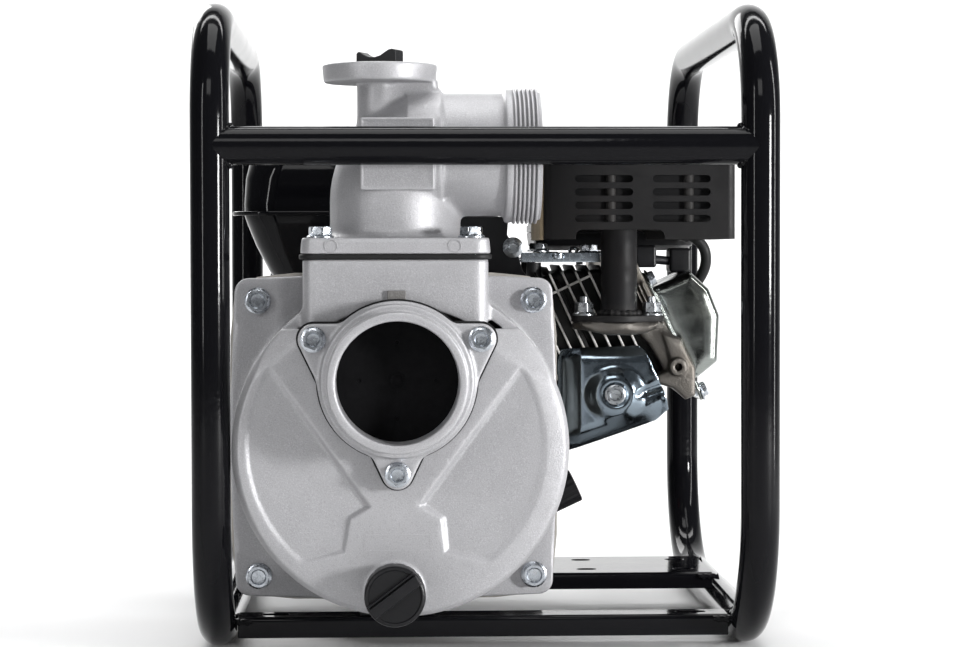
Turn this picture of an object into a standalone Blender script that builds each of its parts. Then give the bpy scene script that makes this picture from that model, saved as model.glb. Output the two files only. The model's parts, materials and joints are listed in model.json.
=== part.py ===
"""Gas engine trash pump: a tube frame, a 3-inch self-priming pump and a single-cylinder petrol engine.

Units are metres, +Z is up and +X is to the right of someone facing the suction port, which faces -Y.
The origin is the centre of the whole machine's footprint, on the ground.
"""

import math

import bmesh
import bpy
from mathutils import Matrix, Vector

# --- Driving dimensions -------------------------------------------------------------------------
GAP = 0.0003  # clearance between two pieces that touch

TUBE_R = 0.0127  # frame tube, 25.4 mm
HOOP_X = 0.1776  # centre plane of each side hoop
FRONT_Y = -0.2000  # centre line of the front uprights
REAR_Y = 0.2420  # centre line of the rear uprights
FRAME_H = 0.4310
HOOP_TOP_BEND = 0.066
HOOP_FOOT_BEND = 0.086
BAR_Z = 0.3339  # centre line of the two upper cross bars

RAIL_Y = (-0.147, -0.119)
RAIL_Z = (0.0085, 0.0225)
PLATE_X = 0.171
PLATE_Y = (-0.023, 0.078)
PLATE_Z = (0.0234, 0.0350)
SHEET = 0.0025

AXIS_X = -0.058  # crankshaft and impeller axis, along Y
AXIS_Z = 0.141

CASE_X = -0.0555  # centre of the round pump casing
CASE_Z = 0.1390
CASE_R = 0.1088
CASE_FACE_R = 0.0980
CASE_WALL = 0.0070
CASE_FRONT_Y = -0.2100
FLANGE_X = -0.0595  # centre of the square casing flange
FLANGE_HALF = 0.1105
FLANGE_POWER = 9  # superellipse power of the square flange outline
FLANGE_FRONT_Y = -0.1260
FLANGE_REAR_Y = -0.1160
BOLT_SPACING = 0.0927  # half the 185.4 mm square of casing bolts, centred on the crank axis
BOLT_CENTRE_X = -0.0582
BOLT_CENTRE_Z = 0.1403

CHAMBER_X = (-0.1185, 0.0015)
CHAMBER_Y = (-0.2030, -0.1200)
CHAMBER_TOP_Z = 0.2607
DECK_Y = -0.0850  # back edge of the deck that carries the discharge elbow
DECK_Z = 0.2522

SUCTION_X = -0.0577
SUCTION_Z = 0.1835
SUCTION_FACE_Y = -0.2547
PORT_THREAD_R = 0.04445  # outside of the 3-inch pipe thread, 88.9 mm
PORT_BORE_R = 0.03875
SUCTION_BOLT_R = 0.0597
SUCTION_BOLT_ANGLES = (26.4, 153.6, 270.0)
FLAP_R = 0.0432
FLAP_HINGE_Y = -0.2167
FLAP_HINGE_Z = 0.2222

ELBOW_X = -0.0585
ELBOW_Y = -0.1380
ELBOW_R = 0.0435
OUTLET_Z = 0.3293
OUTLET_FACE_X = 0.0380
ELBOW_FLANGE_Z = (0.2643, 0.2743)
ELBOW_BOLTS = ((-0.1070, -0.1930), (-0.0095, -0.1930), (-0.1070, -0.0950), (-0.0095, -0.0950))
FILLER_X = -0.0685
FILLER_DISC_R = 0.0384
FILLER_TOP_Z = 0.3900

DRAIN_X = -0.0596
DRAIN_Z = 0.0476

PTO_Y = -0.0670  # engine mounting face for the pump bracket
CRANKCASE_X = (-0.1250, 0.0200)
CRANKCASE_Y = (-0.0540, 0.0520)
CRANKCASE_Z = (0.0353, 0.2050)
CYLINDER_TILT = 25.0  # degrees above horizontal, towards +X
BORE_Y = 0.0030
BORE_R = 0.0350
STROKE = 0.0550

MUFFLER_X = 0.0960  # exhaust pipe
MUFFLER_Y = -0.0720
PORT_TOP_Z = 0.2215
STUD_REACH = 0.0250
COVER_X = (0.0440, 0.1760)
COVER_Y = (-0.0940, 0.0350)
COVER_Z = (0.2740, 0.3480)

CONTROL_Z = 0.2580  # underside of the control plate
FUEL_CAP_X = -0.0500
FUEL_CAP_Y = 0.0500
TANK_TOP_Z = 0.3500

FAN_R = 0.1000
FAN_Y = (0.0540, 0.1400)
REEL_R = 0.0400
ROPE_Y = 0.1540
ROPE_Z = 0.2060
ROPE_R = 0.00225

TILT = math.radians(CYLINDER_TILT)
ALONG = Vector((math.cos(TILT), 0.0, math.sin(TILT)))  # cylinder axis, away from the crankshaft
ACROSS = Vector((-math.sin(TILT), 0.0, math.cos(TILT)))
CRANK = Vector((AXIS_X, 0.0, AXIS_Z))

# --- Scene, collections and materials -------------------------------------------------------------
for old in list(bpy.data.objects):
    bpy.data.objects.remove(old, do_unlink=True)

PARTS = bpy.data.collections.new("gas_engine_trash_pump")
CUTTERS = bpy.data.collections.new("cutters")
for group in (PARTS, CUTTERS):
    bpy.context.scene.collection.children.link(group)

FINISHES = {
    "frame_paint": ((0.012, 0.012, 0.014), 0.22, 0.0),
    "pump_paint": ((0.52, 0.52, 0.54), 0.38, 0.6),
    "cast_aluminium": ((0.45, 0.44, 0.43), 0.50, 0.9),
    "dark_casting": ((0.10, 0.10, 0.10), 0.60, 0.5),
    "cast_iron": ((0.12, 0.12, 0.12), 0.65, 0.8),
    "machined_steel": ((0.56, 0.56, 0.57), 0.28, 1.0),
    "zinc_plate": ((0.50, 0.56, 0.62), 0.22, 1.0),
    "polished_steel": ((0.55, 0.57, 0.55), 0.18, 1.0),
    "muffler_paint": ((0.03, 0.03, 0.032), 0.55, 0.2),
    "tank_paint": ((0.010, 0.010, 0.012), 0.12, 0.0),
    "black_plastic": ((0.015, 0.015, 0.016), 0.42, 0.0),
    "rubber": ((0.012, 0.012, 0.012), 0.70, 0.0),
    "red_plastic": ((0.45, 0.02, 0.02), 0.35, 0.0),
    "rope": ((0.05, 0.05, 0.05), 0.90, 0.0),
}


def finish_for(part_name, finish):
    """A Principled material of its own for one part."""
    colour, roughness, metallic = FINISHES[finish]
    material = bpy.data.materials.new(part_name)
    material.use_nodes = True
    shader = material.node_tree.nodes["Principled BSDF"]
    shader.inputs["Base Color"].default_value = (*colour, 1.0)
    shader.inputs["Roughness"].default_value = roughness
    shader.inputs["Metallic"].default_value = metallic
    return material


# --- Shape helpers: each makes a helper solid, and part() turns one into a named sub-part ---------
def solid(mesh, name="helper"):
    obj = bpy.data.objects.new(name, mesh)
    CUTTERS.objects.link(obj)
    obj.hide_render = True
    obj.display_type = "WIRE"
    return obj


def from_bmesh(bm):
    bmesh.ops.recalc_face_normals(bm, faces=bm.faces)
    mesh = bpy.data.meshes.new("shape")
    bm.to_mesh(mesh)
    bm.free()
    return solid(mesh)


def box(low, high):
    """A block between two opposite corners."""
    bm = bmesh.new()
    bmesh.ops.create_cube(bm, size=1.0)
    low, high = Vector(low), Vector(high)
    size = high - low
    bmesh.ops.scale(bm, vec=size, verts=bm.verts)
    bmesh.ops.translate(bm, vec=(low + high) / 2, verts=bm.verts)
    return from_bmesh(bm)


def rod(start, end, radius, end_radius=None, segments=16):
    """A cylinder, or a cone, between two points."""
    start, end = Vector(start), Vector(end)
    axis = end - start
    bm = bmesh.new()
    bmesh.ops.create_cone(
        bm,
        cap_ends=True,
        segments=segments,
        radius1=radius,
        radius2=radius if end_radius is None else end_radius,
        depth=axis.length,
    )
    turn = Vector((0, 0, 1)).rotation_difference(axis).to_matrix().to_4x4()
    bmesh.ops.transform(bm, matrix=Matrix.Translation((start + end) / 2) @ turn, verts=bm.verts)
    return from_bmesh(bm)


def bore(start, end, radius, segments=16):
    """A cutter for a round hole. Its flats lie at the radius, so that a round pin clears them."""
    return rod(start, end, radius / math.cos(math.pi / segments), segments=segments)


def turned(profile, centre, axis="Y", steps=28, ring=False):
    """A turned solid. The profile is (radius, height) pairs down its outer side, heights along the axis."""
    mesh = bpy.data.meshes.new("profile")
    links = [(i, i + 1) for i in range(len(profile) - 1)]
    if ring:
        links.append((len(profile) - 1, 0))
    mesh.from_pydata([(radius, 0.0, height) for radius, height in profile], links, [])
    obj = solid(mesh)
    turns = {
        "X": Vector((1, 0, 0)),
        "Y": Vector((0, 1, 0)),
        "Z": Vector((0, 0, 1)),
    }
    direction = turns[axis] if isinstance(axis, str) else Vector(axis)
    obj.rotation_mode = "QUATERNION"
    obj.rotation_quaternion = Vector((0, 0, 1)).rotation_difference(direction)
    obj.location = centre
    screw = obj.modifiers.new("turn", "SCREW")
    screw.angle = math.tau
    screw.steps = steps
    screw.render_steps = steps
    screw.use_merge_vertices = True
    screw.merge_threshold = 1e-6
    return obj


def prism(outline, start, end, plane="XZ"):
    """A flat outline given a thickness: a face is made from the outline and extruded."""
    places = {
        "XZ": lambda a, b, c: (a, c, b),
        "XY": lambda a, b, c: (a, b, c),
        "YZ": lambda a, b, c: (c, a, b),
    }
    place = places[plane]
    bm = bmesh.new()
    face = bm.faces.new([bm.verts.new(place(a, b, start)) for a, b in outline])
    raised = bmesh.ops.extrude_face_region(bm, geom=[face])
    moved = [item for item in raised["geom"] if isinstance(item, bmesh.types.BMVert)]
    bmesh.ops.translate(bm, vec=place(0.0, 0.0, end - start), verts=moved)
    return from_bmesh(bm)


def loft(rings):
    """A closed solid through rings of the same number of points."""
    bm = bmesh.new()
    rows = [[bm.verts.new(point) for point in ring] for ring in rings]
    count = len(rows[0])
    for lower, upper in zip(rows, rows[1:]):
        for i in range(count):
            j = (i + 1) % count
            bm.faces.new((lower[i], lower[j], upper[j], upper[i]))
    bm.faces.new(rows[0])
    bm.faces.new(rows[-1])
    return from_bmesh(bm)


def swept(points, radius, closed=False, sides=4):
    """A round tube along points, made as a bevelled curve and then turned into a welded mesh."""
    curve = bpy.data.curves.new("path", "CURVE")
    curve.dimensions = "3D"
    curve.bevel_depth = radius
    curve.bevel_resolution = sides
    curve.use_fill_caps = True
    spline = curve.splines.new("POLY")
    spline.points.add(len(points) - 1)
    for slot, point in zip(spline.points, points):
        slot.co = (*point, 1.0)
    spline.use_cyclic_u = closed
    guide = bpy.data.objects.new("path", curve)
    bpy.context.scene.collection.objects.link(guide)
    bpy.context.view_layer.update()
    mesh = bpy.data.meshes.new_from_object(guide.evaluated_get(bpy.context.evaluated_depsgraph_get()))
    bpy.data.objects.remove(guide, do_unlink=True)
    bm = bmesh.new()
    bm.from_mesh(mesh)
    bmesh.ops.remove_doubles(bm, verts=bm.verts, dist=1e-6)
    return from_bmesh(bm)


def edge_bevel(obj, width, segments=2, angle=40.0):
    bevel = obj.modifiers.new("edges", "BEVEL")
    bevel.width = width
    bevel.segments = segments
    bevel.limit_method = "ANGLE"
    bevel.angle_limit = math.radians(angle)
    return obj


def combine(obj, others, operation):
    for other in others:
        change = obj.modifiers.new(operation.lower(), "BOOLEAN")
        change.operation = operation
        change.object = other
    return obj


def join(obj, *others):
    return combine(obj, others, "UNION")


def cut(obj, *others):
    return combine(obj, others, "DIFFERENCE")


def part(name, obj, finish, origin=None):
    """Names a helper solid, gives it its material and moves its origin to its joint axis."""
    obj.name = name
    CUTTERS.objects.unlink(obj)
    PARTS.objects.link(obj)
    obj.hide_render = False
    obj.display_type = "TEXTURED"
    obj.data.name = name
    obj.data.materials.clear()
    obj.data.materials.append(finish_for(name, finish))
    if origin is not None:
        shift = obj.matrix_basis.inverted() @ Vector(origin)
        obj.data.transform(Matrix.Translation(-shift))
        obj.location = origin
    obj.data.shade_smooth()
    obj.data.set_sharp_from_angle(angle=math.radians(35))
    return obj


# --- Outlines -------------------------------------------------------------------------------------
def arc(centre, radius, start, end, steps):
    """Points along an arc, angles in degrees from the first axis."""
    return [
        (
            centre[0] + radius * math.cos(math.radians(start + (end - start) * i / steps)),
            centre[1] + radius * math.sin(math.radians(start + (end - start) * i / steps)),
        )
        for i in range(steps + 1)
    ]


def circle(centre, radius, steps=16):
    return arc(centre, radius, 0.0, 360.0, steps)[:-1]


def rounded_rect(low, high, radius, steps=4):
    (a0, b0), (a1, b1) = low, high
    return (
        arc((a1 - radius, b1 - radius), radius, 0, 90, steps)
        + arc((a0 + radius, b1 - radius), radius, 90, 180, steps)
        + arc((a0 + radius, b0 + radius), radius, 180, 270, steps)
        + arc((a1 - radius, b0 + radius), radius, 270, 360, steps)
    )


def stadium(centre, length, width, steps=4):
    """A slot with round ends, its long way along the first axis."""
    reach = length / 2 - width / 2
    right = arc((centre[0] + reach, centre[1]), width / 2, -90, 90, steps)
    left = arc((centre[0] - reach, centre[1]), width / 2, 90, 270, steps)
    return right + left


def superellipse(centre, half, power, steps=40):
    points = []
    for i in range(steps):
        angle = math.tau * (i + 0.5) / steps
        c, s = math.cos(angle), math.sin(angle)
        scale = half / (abs(c) ** power + abs(s) ** power) ** (1.0 / power)
        points.append((centre[0] + scale * c, centre[1] + scale * s))
    return points


def hull(points):
    """The convex outline round some points, anticlockwise."""
    ordered = sorted(set(points))

    def chain(items):
        kept = []
        for p in items:
            while len(kept) > 1:
                (ax, ay), (bx, by) = kept[-2], kept[-1]
                if (bx - ax) * (p[1] - ay) - (by - ay) * (p[0] - ax) > 1e-12:
                    break
                kept.pop()
            kept.append(p)
        return kept[:-1]

    return chain(ordered) + chain(reversed(ordered))


def cylinder_point(along, across, y=BORE_Y):
    """A point given along and across the cylinder axis from the crankshaft."""
    point = CRANK + along * ALONG + across * ACROSS
    return Vector((point.x, y, point.z))


def cylinder_block(along, across, y_range):
    """A block whose faces lie along and across the tilted cylinder axis."""
    block = box((along[0], y_range[0], across[0]), (along[1], y_range[1], across[1]))
    block.data.transform(Matrix.Translation(CRANK) @ Matrix.Rotation(-TILT, 4, "Y"))
    return block


# --- Frame ----------------------------------------------------------------------------------------
def hoop_path(x):
    """Centre line of one side hoop, a rounded rectangle in a plane of constant X."""
    bottom, top = TUBE_R, FRAME_H - TUBE_R
    low, high = HOOP_FOOT_BEND, HOOP_TOP_BEND
    corners = (
        arc((REAR_Y - high, top - high), high, 0, 90, 6)
        + arc((FRONT_Y + high, top - high), high, 90, 180, 6)
        + arc((FRONT_Y + low, bottom + low), low, 180, 270, 7)
        + arc((REAR_Y - low, bottom + low), low, 270, 360, 7)
    )
    return [(x, y, z) for y, z in corners]


def hoop_cutters():
    """The two hoops a little larger, for coping what is welded to them."""
    return [swept(hoop_path(x), TUBE_R + 1.5 * GAP, closed=True) for x in (-HOOP_X, HOOP_X)]


def make_frame():
    part("left_hoop", swept(hoop_path(-HOOP_X), TUBE_R, closed=True), "frame_paint")
    part("right_hoop", swept(hoop_path(HOOP_X), TUBE_R, closed=True), "frame_paint")
    for name, y in (("front_upper_bar", FRONT_Y), ("rear_upper_bar", REAR_Y)):
        bar = rod((-HOOP_X, y, BAR_Z), (HOOP_X, y, BAR_Z), TUBE_R)
        part(name, cut(bar, *hoop_cutters()), "frame_paint")

    reach = HOOP_X - 0.0030
    rail = box((-reach, RAIL_Y[0], RAIL_Z[0]), (reach, RAIL_Y[1], RAIL_Z[1]))
    inside = box(
        (-HOOP_X, RAIL_Y[0] + SHEET, RAIL_Z[0] - 0.01),
        (HOOP_X, RAIL_Y[1] - SHEET, RAIL_Z[1] - SHEET),
    )
    middle = sum(RAIL_Y) / 2
    slots = [prism(stadium((x, middle), 0.020, 0.009), 0.0, 0.04, "XY") for x in (-0.140, 0.140)]
    part("front_base_rail", cut(rail, inside, *slots, *hoop_cutters()), "frame_paint")

    plate = box((-PLATE_X, PLATE_Y[0], PLATE_Z[0]), (PLATE_X, PLATE_Y[1], PLATE_Z[1]))
    inside = box(
        (-HOOP_X, PLATE_Y[0] + SHEET, PLATE_Z[0] - 0.01),
        (HOOP_X, PLATE_Y[1] - SHEET, PLATE_Z[1] - SHEET),
    )
    part("engine_base_plate", cut(plate, inside, *hoop_cutters()), "frame_paint")

    pad = box((-0.083, -0.1445, RAIL_Z[1] + GAP), (-0.033, -0.1215, 0.0297))
    part("pump_foot_pad", edge_bevel(pad, 0.0015, 1), "rubber")


# --- Pump -----------------------------------------------------------------------------------------
def casing_bolt_places():
    return [
        (BOLT_CENTRE_X + sx * BOLT_SPACING, BOLT_CENTRE_Z + sz * BOLT_SPACING)
        for sx, sz in ((-1, -1), (1, -1), (1, 1), (-1, 1))
    ]


def suction_bolt_places():
    return [
        (
            SUCTION_X + SUCTION_BOLT_R * math.cos(math.radians(angle)),
            SUCTION_Z + SUCTION_BOLT_R * math.sin(math.radians(angle)),
        )
        for angle in SUCTION_BOLT_ANGLES
    ]


def make_housing():
    outer = [
        (0.0, -0.1200),
        (CASE_R, -0.1200),
        (CASE_R, -0.1990),
        (0.1045, -0.2065),
        (CASE_FACE_R, CASE_FRONT_Y),
        (0.0, CASE_FRONT_Y),
    ]
    body = turned(outer, (CASE_X, 0.0, CASE_Z), steps=36)
    chamber = prism(
        rounded_rect((CHAMBER_X[0], CHAMBER_Y[0]), (CHAMBER_X[1], CHAMBER_Y[1]), 0.009),
        0.1600,
        CHAMBER_TOP_Z,
        "XY",
    )
    deck = prism(
        rounded_rect((CHAMBER_X[0], -0.1300), (CHAMBER_X[1], DECK_Y), 0.009),
        DECK_Z,
        CHAMBER_TOP_Z,
        "XY",
    )
    # The round face stops where the flat front of the chamber begins.
    above = box((CHAMBER_X[0] - 0.02, -0.2200, 0.2185), (CHAMBER_X[1] + 0.03, CHAMBER_Y[0], 0.2600))
    flange = prism(
        superellipse((FLANGE_X, AXIS_Z), FLANGE_HALF, FLANGE_POWER), FLANGE_FRONT_Y, FLANGE_REAR_Y
    )
    foot = box((-0.086, -0.1460, 0.0300), (-0.030, -0.1180, 0.0450))
    drain_boss = turned(
        [(0.0, -0.2050), (0.0230, -0.2050), (0.0210, -0.2160), (0.0, -0.2160)],
        (DRAIN_X, 0.0, DRAIN_Z),
        steps=16,
    )
    cavity = turned(
        [
            (0.0, -0.1000),
            (CASE_R - CASE_WALL, -0.1000),
            (CASE_R - CASE_WALL, -0.1960),
            (CASE_FACE_R - CASE_WALL, -0.2035),
            (0.0, -0.2035),
        ],
        (CASE_X, 0.0, CASE_Z),
        steps=36,
    )
    chamber_cavity = prism(
        rounded_rect((-0.1115, -0.1965), (-0.0055, -0.1230), 0.028, 6), 0.1500, 0.2700, "XY"
    )
    bosses = [rod((x, -0.2060, z), (x, -0.1900, z), 0.0085, segments=12) for x, z in suction_bolt_places()]
    mouth = rod((SUCTION_X, -0.2200, SUCTION_Z), (SUCTION_X, -0.1850, SUCTION_Z), 0.0475, segments=28)
    drain = bore((DRAIN_X, -0.2200, DRAIN_Z), (DRAIN_X, -0.1950, DRAIN_Z), 0.0123)
    holes = [
        rod((x, FLANGE_FRONT_Y - 0.01, z), (x, FLANGE_REAR_Y + 0.01, z), 0.0045, segments=8)
        for x, z in casing_bolt_places()
    ]
    holes += [rod((x, -0.2150, z), (x, -0.1950, z), 0.0036, segments=8) for x, z in suction_bolt_places()]
    holes += [rod((x, y, 0.2460), (x, y, 0.2700), 0.0045, segments=8) for x, y in ELBOW_BOLTS]
    # A stopped groove in the rear face for the sealing ring.
    groove = turned(
        [(0.1065, -0.1100), (0.1065, -0.1185), (0.1035, -0.1185), (0.1035, -0.1100)],
        (CASE_X, 0.0, CASE_Z),
        steps=36,
        ring=True,
    )
    join(body, chamber, deck)
    cut(body, above)
    join(body, flange, foot, drain_boss)
    cut(body, cavity, chamber_cavity)
    join(body, *bosses)
    cut(body, mouth, drain, groove, *holes)
    part("pump_housing", body, "pump_paint")


def make_suction_flange():
    plate_y = (-0.2220, CASE_FRONT_Y - GAP)
    body = turned(
        [
            (0.0, plate_y[1]),
            (0.0505, plate_y[1]),
            (0.0505, plate_y[0]),
            (0.0490, plate_y[0]),
            (0.0490, -0.2290),
            (PORT_THREAD_R, -0.2290),
            (PORT_THREAD_R, SUCTION_FACE_Y),
            (0.0, SUCTION_FACE_Y),
        ],
        (SUCTION_X, 0.0, SUCTION_Z),
        steps=32,
    )
    arms = []
    for (x, z), angle in zip(suction_bolt_places(), SUCTION_BOLT_ANGLES):
        side = math.cos(math.radians(angle))
        if abs(side) < 0.1:
            roots = circle((x, z + 0.030), 0.0230)
        else:
            inward = -0.024 if side > 0 else 0.024
            roots = circle((x + inward, z), 0.0098) + circle((x + inward * 0.6, z - 0.028), 0.0110)
        arms.append(prism(hull(circle((x, z), 0.0098) + roots), plate_y[0] + 0.0002, plate_y[1] - 0.0002))
    passage = turned(
        [
            (0.0, -0.2000),
            (FLAP_R + 0.0014, -0.2000),
            (FLAP_R + 0.0014, -0.2190),
            (PORT_BORE_R, -0.2190),
            (PORT_BORE_R, -0.2600),
            (0.0, -0.2600),
        ],
        (SUCTION_X, 0.0, SUCTION_Z),
        steps=32,
    )
    holes = [rod((x, -0.2300, z), (x, -0.2000, z), 0.0036, segments=8) for x, z in suction_bolt_places()]
    join(body, *arms)
    cut(body, passage, *holes)
    part("suction_flange", body, "pump_paint")


def make_check_valve():
    """A rubber disc with a steel weight behind it, cut straight at its hinge."""
    disc = rod((SUCTION_X, -0.2187, SUCTION_Z), (SUCTION_X, -0.2147, SUCTION_Z), FLAP_R, segments=28)
    top = box((-0.15, -0.23, FLAP_HINGE_Z - 0.0003), (0.05, -0.20, 0.25))
    barrel = rod(
        (SUCTION_X - 0.016, FLAP_HINGE_Y, FLAP_HINGE_Z),
        (SUCTION_X + 0.016, FLAP_HINGE_Y, FLAP_HINGE_Z),
        0.0019,
        segments=8,
    )
    weight = turned(
        [(0.0, -0.2105), (0.0190, -0.2105), (0.0200, -0.2115), (0.0200, -0.2150), (0.0, -0.2150)],
        (SUCTION_X, 0.0, SUCTION_Z - 0.004),
        steps=16,
    )
    rivet = turned(
        [(0.0, -0.2180), (0.0040, -0.2180), (0.0040, -0.2192), (0.0, -0.2196)],
        (SUCTION_X, 0.0, SUCTION_Z - 0.004),
        steps=8,
    )
    cut(disc, top)
    join(disc, barrel, weight, rivet)
    part("check_valve_flap", disc, "rubber", (SUCTION_X, FLAP_HINGE_Y, FLAP_HINGE_Z))


def elbow_bend(radius, bend, sides=28, steps=6):
    """A quarter bend whose inner side is pinched to its centre line, where two pipes meet in a corner."""
    pinch = 0.001
    centre_x, centre_z = ELBOW_X + bend, OUTLET_Z - bend
    rings = []
    for i in range(steps + 1):
        turn = math.pi / 2 * i / steps
        ring = []
        for j in range(sides):
            around = math.tau * (j + 0.5) / sides
            reach = max(bend + radius * math.cos(around), pinch)
            ring.append(
                (
                    centre_x - reach * math.cos(turn),
                    ELBOW_Y + radius * math.sin(around),
                    centre_z + reach * math.sin(turn),
                )
            )
        rings.append(ring)
    return loft(rings)


def make_elbow():
    bend = 0.030
    pipe = rod(
        (ELBOW_X + bend - 0.004, ELBOW_Y, OUTLET_Z), (0.020, ELBOW_Y, OUTLET_Z), ELBOW_R, segments=28
    )
    riser = rod(
        (ELBOW_X, ELBOW_Y, ELBOW_FLANGE_Z[0] + 0.004),
        (ELBOW_X, ELBOW_Y, OUTLET_Z - bend + 0.004),
        ELBOW_R,
        segments=28,
    )
    corner = elbow_bend(ELBOW_R + 0.0003, bend)
    thread = turned(
        [
            (0.0, OUTLET_FACE_X),
            (PORT_THREAD_R - 0.001, OUTLET_FACE_X),
            (PORT_THREAD_R, OUTLET_FACE_X - 0.002),
            (PORT_THREAD_R, 0.0120),
            (PORT_THREAD_R - 0.003, 0.0080),
            (0.0, 0.0080),
        ],
        (0.0, ELBOW_Y, OUTLET_Z),
        axis="X",
        steps=28,
    )
    flange = prism(
        rounded_rect((CHAMBER_X[0] - 0.0015, -0.2050), (CHAMBER_X[1] + 0.0015, -0.0830), 0.011),
        *ELBOW_FLANGE_Z,
        "XY",
    )
    neck = rod((FILLER_X, ELBOW_Y, 0.3300), (FILLER_X, ELBOW_Y, 0.3790), 0.0150, segments=16)
    disc = turned(
        [
            (0.0, FILLER_TOP_Z),
            (FILLER_DISC_R - 0.001, FILLER_TOP_Z),
            (FILLER_DISC_R, FILLER_TOP_Z - 0.001),
            (FILLER_DISC_R - 0.001, FILLER_TOP_Z - 0.0120),
            (0.0, FILLER_TOP_Z - 0.0120),
        ],
        (FILLER_X, ELBOW_Y, 0.0),
        axis="Z",
        steps=28,
    )
    # Water way: up through the flange, round the bend and out through the thread.
    bore_r = 0.0375
    riser_bore = rod(
        (ELBOW_X, ELBOW_Y, 0.2500), (ELBOW_X, ELBOW_Y, OUTLET_Z - bend + 0.003), bore_r, segments=24
    )
    pipe_bore = rod(
        (ELBOW_X + bend - 0.003, ELBOW_Y, OUTLET_Z), (0.0500, ELBOW_Y, OUTLET_Z), bore_r, segments=24
    )
    corner_bore = elbow_bend(bore_r - 0.0004, bend, sides=20)
    filler_bore = bore((FILLER_X, ELBOW_Y, 0.3400), (FILLER_X, ELBOW_Y, 0.4000), 0.0103)
    recess = bore((FILLER_X, ELBOW_Y, 0.3850), (FILLER_X, ELBOW_Y, 0.4000), 0.0172)
    holes = [rod((x, y, 0.2600), (x, y, 0.2800), 0.0045, segments=8) for x, y in ELBOW_BOLTS]
    join(riser, corner, pipe, thread, flange, neck, disc)
    cut(riser, riser_bore, corner_bore, pipe_bore, filler_bore, recess, *holes)
    part("discharge_elbow", riser, "pump_paint")

    gasket = prism(
        rounded_rect((CHAMBER_X[0] - 0.0005, -0.2040), (CHAMBER_X[1] + 0.0005, -0.0840), 0.010),
        CHAMBER_TOP_Z + GAP,
        ELBOW_FLANGE_Z[0] - GAP,
        "XY",
    )
    opening = rod((ELBOW_X, ELBOW_Y, 0.2500), (ELBOW_X, ELBOW_Y, 0.2700), 0.0385, segments=24)
    holes = [rod((x, y, 0.2500), (x, y, 0.2800), 0.0045, segments=8) for x, y in ELBOW_BOLTS]
    part("discharge_gasket", cut(gasket, opening, *holes), "rubber")


def make_filler_cap():
    seat = 0.3850
    seal = turned(
        [(0.0165, seat + 0.0023), (0.0165, seat + GAP), (0.0110, seat + GAP), (0.0110, seat + 0.0023)],
        (FILLER_X, ELBOW_Y, 0.0),
        axis="Z",
        steps=16,
        ring=True,
    )
    part("filler_cap_seal", seal, "rubber", (FILLER_X, ELBOW_Y, seat))
    cap = turned(
        [
            (0.0, 0.3915),
            (0.0160, 0.3915),
            (0.0165, 0.3905),
            (0.0165, seat + 0.0026),
            (0.0098, seat + 0.0026),
            (0.0098, 0.3720),
            (0.0, 0.3720),
        ],
        (FILLER_X, ELBOW_Y, 0.0),
        axis="Z",
        steps=16,
    )
    # The finger grip: a wing, high at both ends and dished in the middle.
    wing = prism(
        [(-0.0140, 0.3900), (0.0140, 0.3900), (0.0145, 0.3985), (0.0110, 0.4005)]
        + [(0.0060, 0.3985), (0.0, 0.3975), (-0.0060, 0.3985), (-0.0110, 0.4005), (-0.0145, 0.3985)],
        -0.0045,
        0.0045,
    )
    wing.data.transform(Matrix.Translation((FILLER_X, ELBOW_Y, 0.0)))
    part("filler_cap", join(cap, wing), "black_plastic", (FILLER_X, ELBOW_Y, seat))


def make_drain_plug():
    seal = turned(
        [(0.0175, -0.2163), (0.0175, -0.2188), (0.0128, -0.2188), (0.0128, -0.2163)],
        (DRAIN_X, 0.0, DRAIN_Z),
        steps=16,
        ring=True,
    )
    part("drain_plug_seal", seal, "rubber", (DRAIN_X, -0.2163, DRAIN_Z))
    plug = turned(
        [
            (0.0, -0.1970),
            (0.0118, -0.1970),
            (0.0118, -0.2191),
            (0.0195, -0.2191),
            (0.0195, -0.2350),
            (0.0180, -0.2365),
            (0.0, -0.2365),
        ],
        (DRAIN_X, 0.0, DRAIN_Z),
        steps=24,
    )
    rib = box((-0.0175, -0.2395, -0.0016), (0.0175, -0.2355, 0.0016))
    groove = box((-0.0190, -0.2420, 0.0030), (0.0190, -0.2345, 0.0058))
    for piece in (rib, groove):
        piece.data.transform(Matrix.Rotation(math.radians(-37), 4, "Y"))
        piece.data.transform(Matrix.Translation((DRAIN_X, 0.0, DRAIN_Z)))
    cut(plug, groove)
    join(plug, rib)
    part("drain_plug", plug, "black_plastic", (DRAIN_X, -0.2163, DRAIN_Z))


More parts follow.
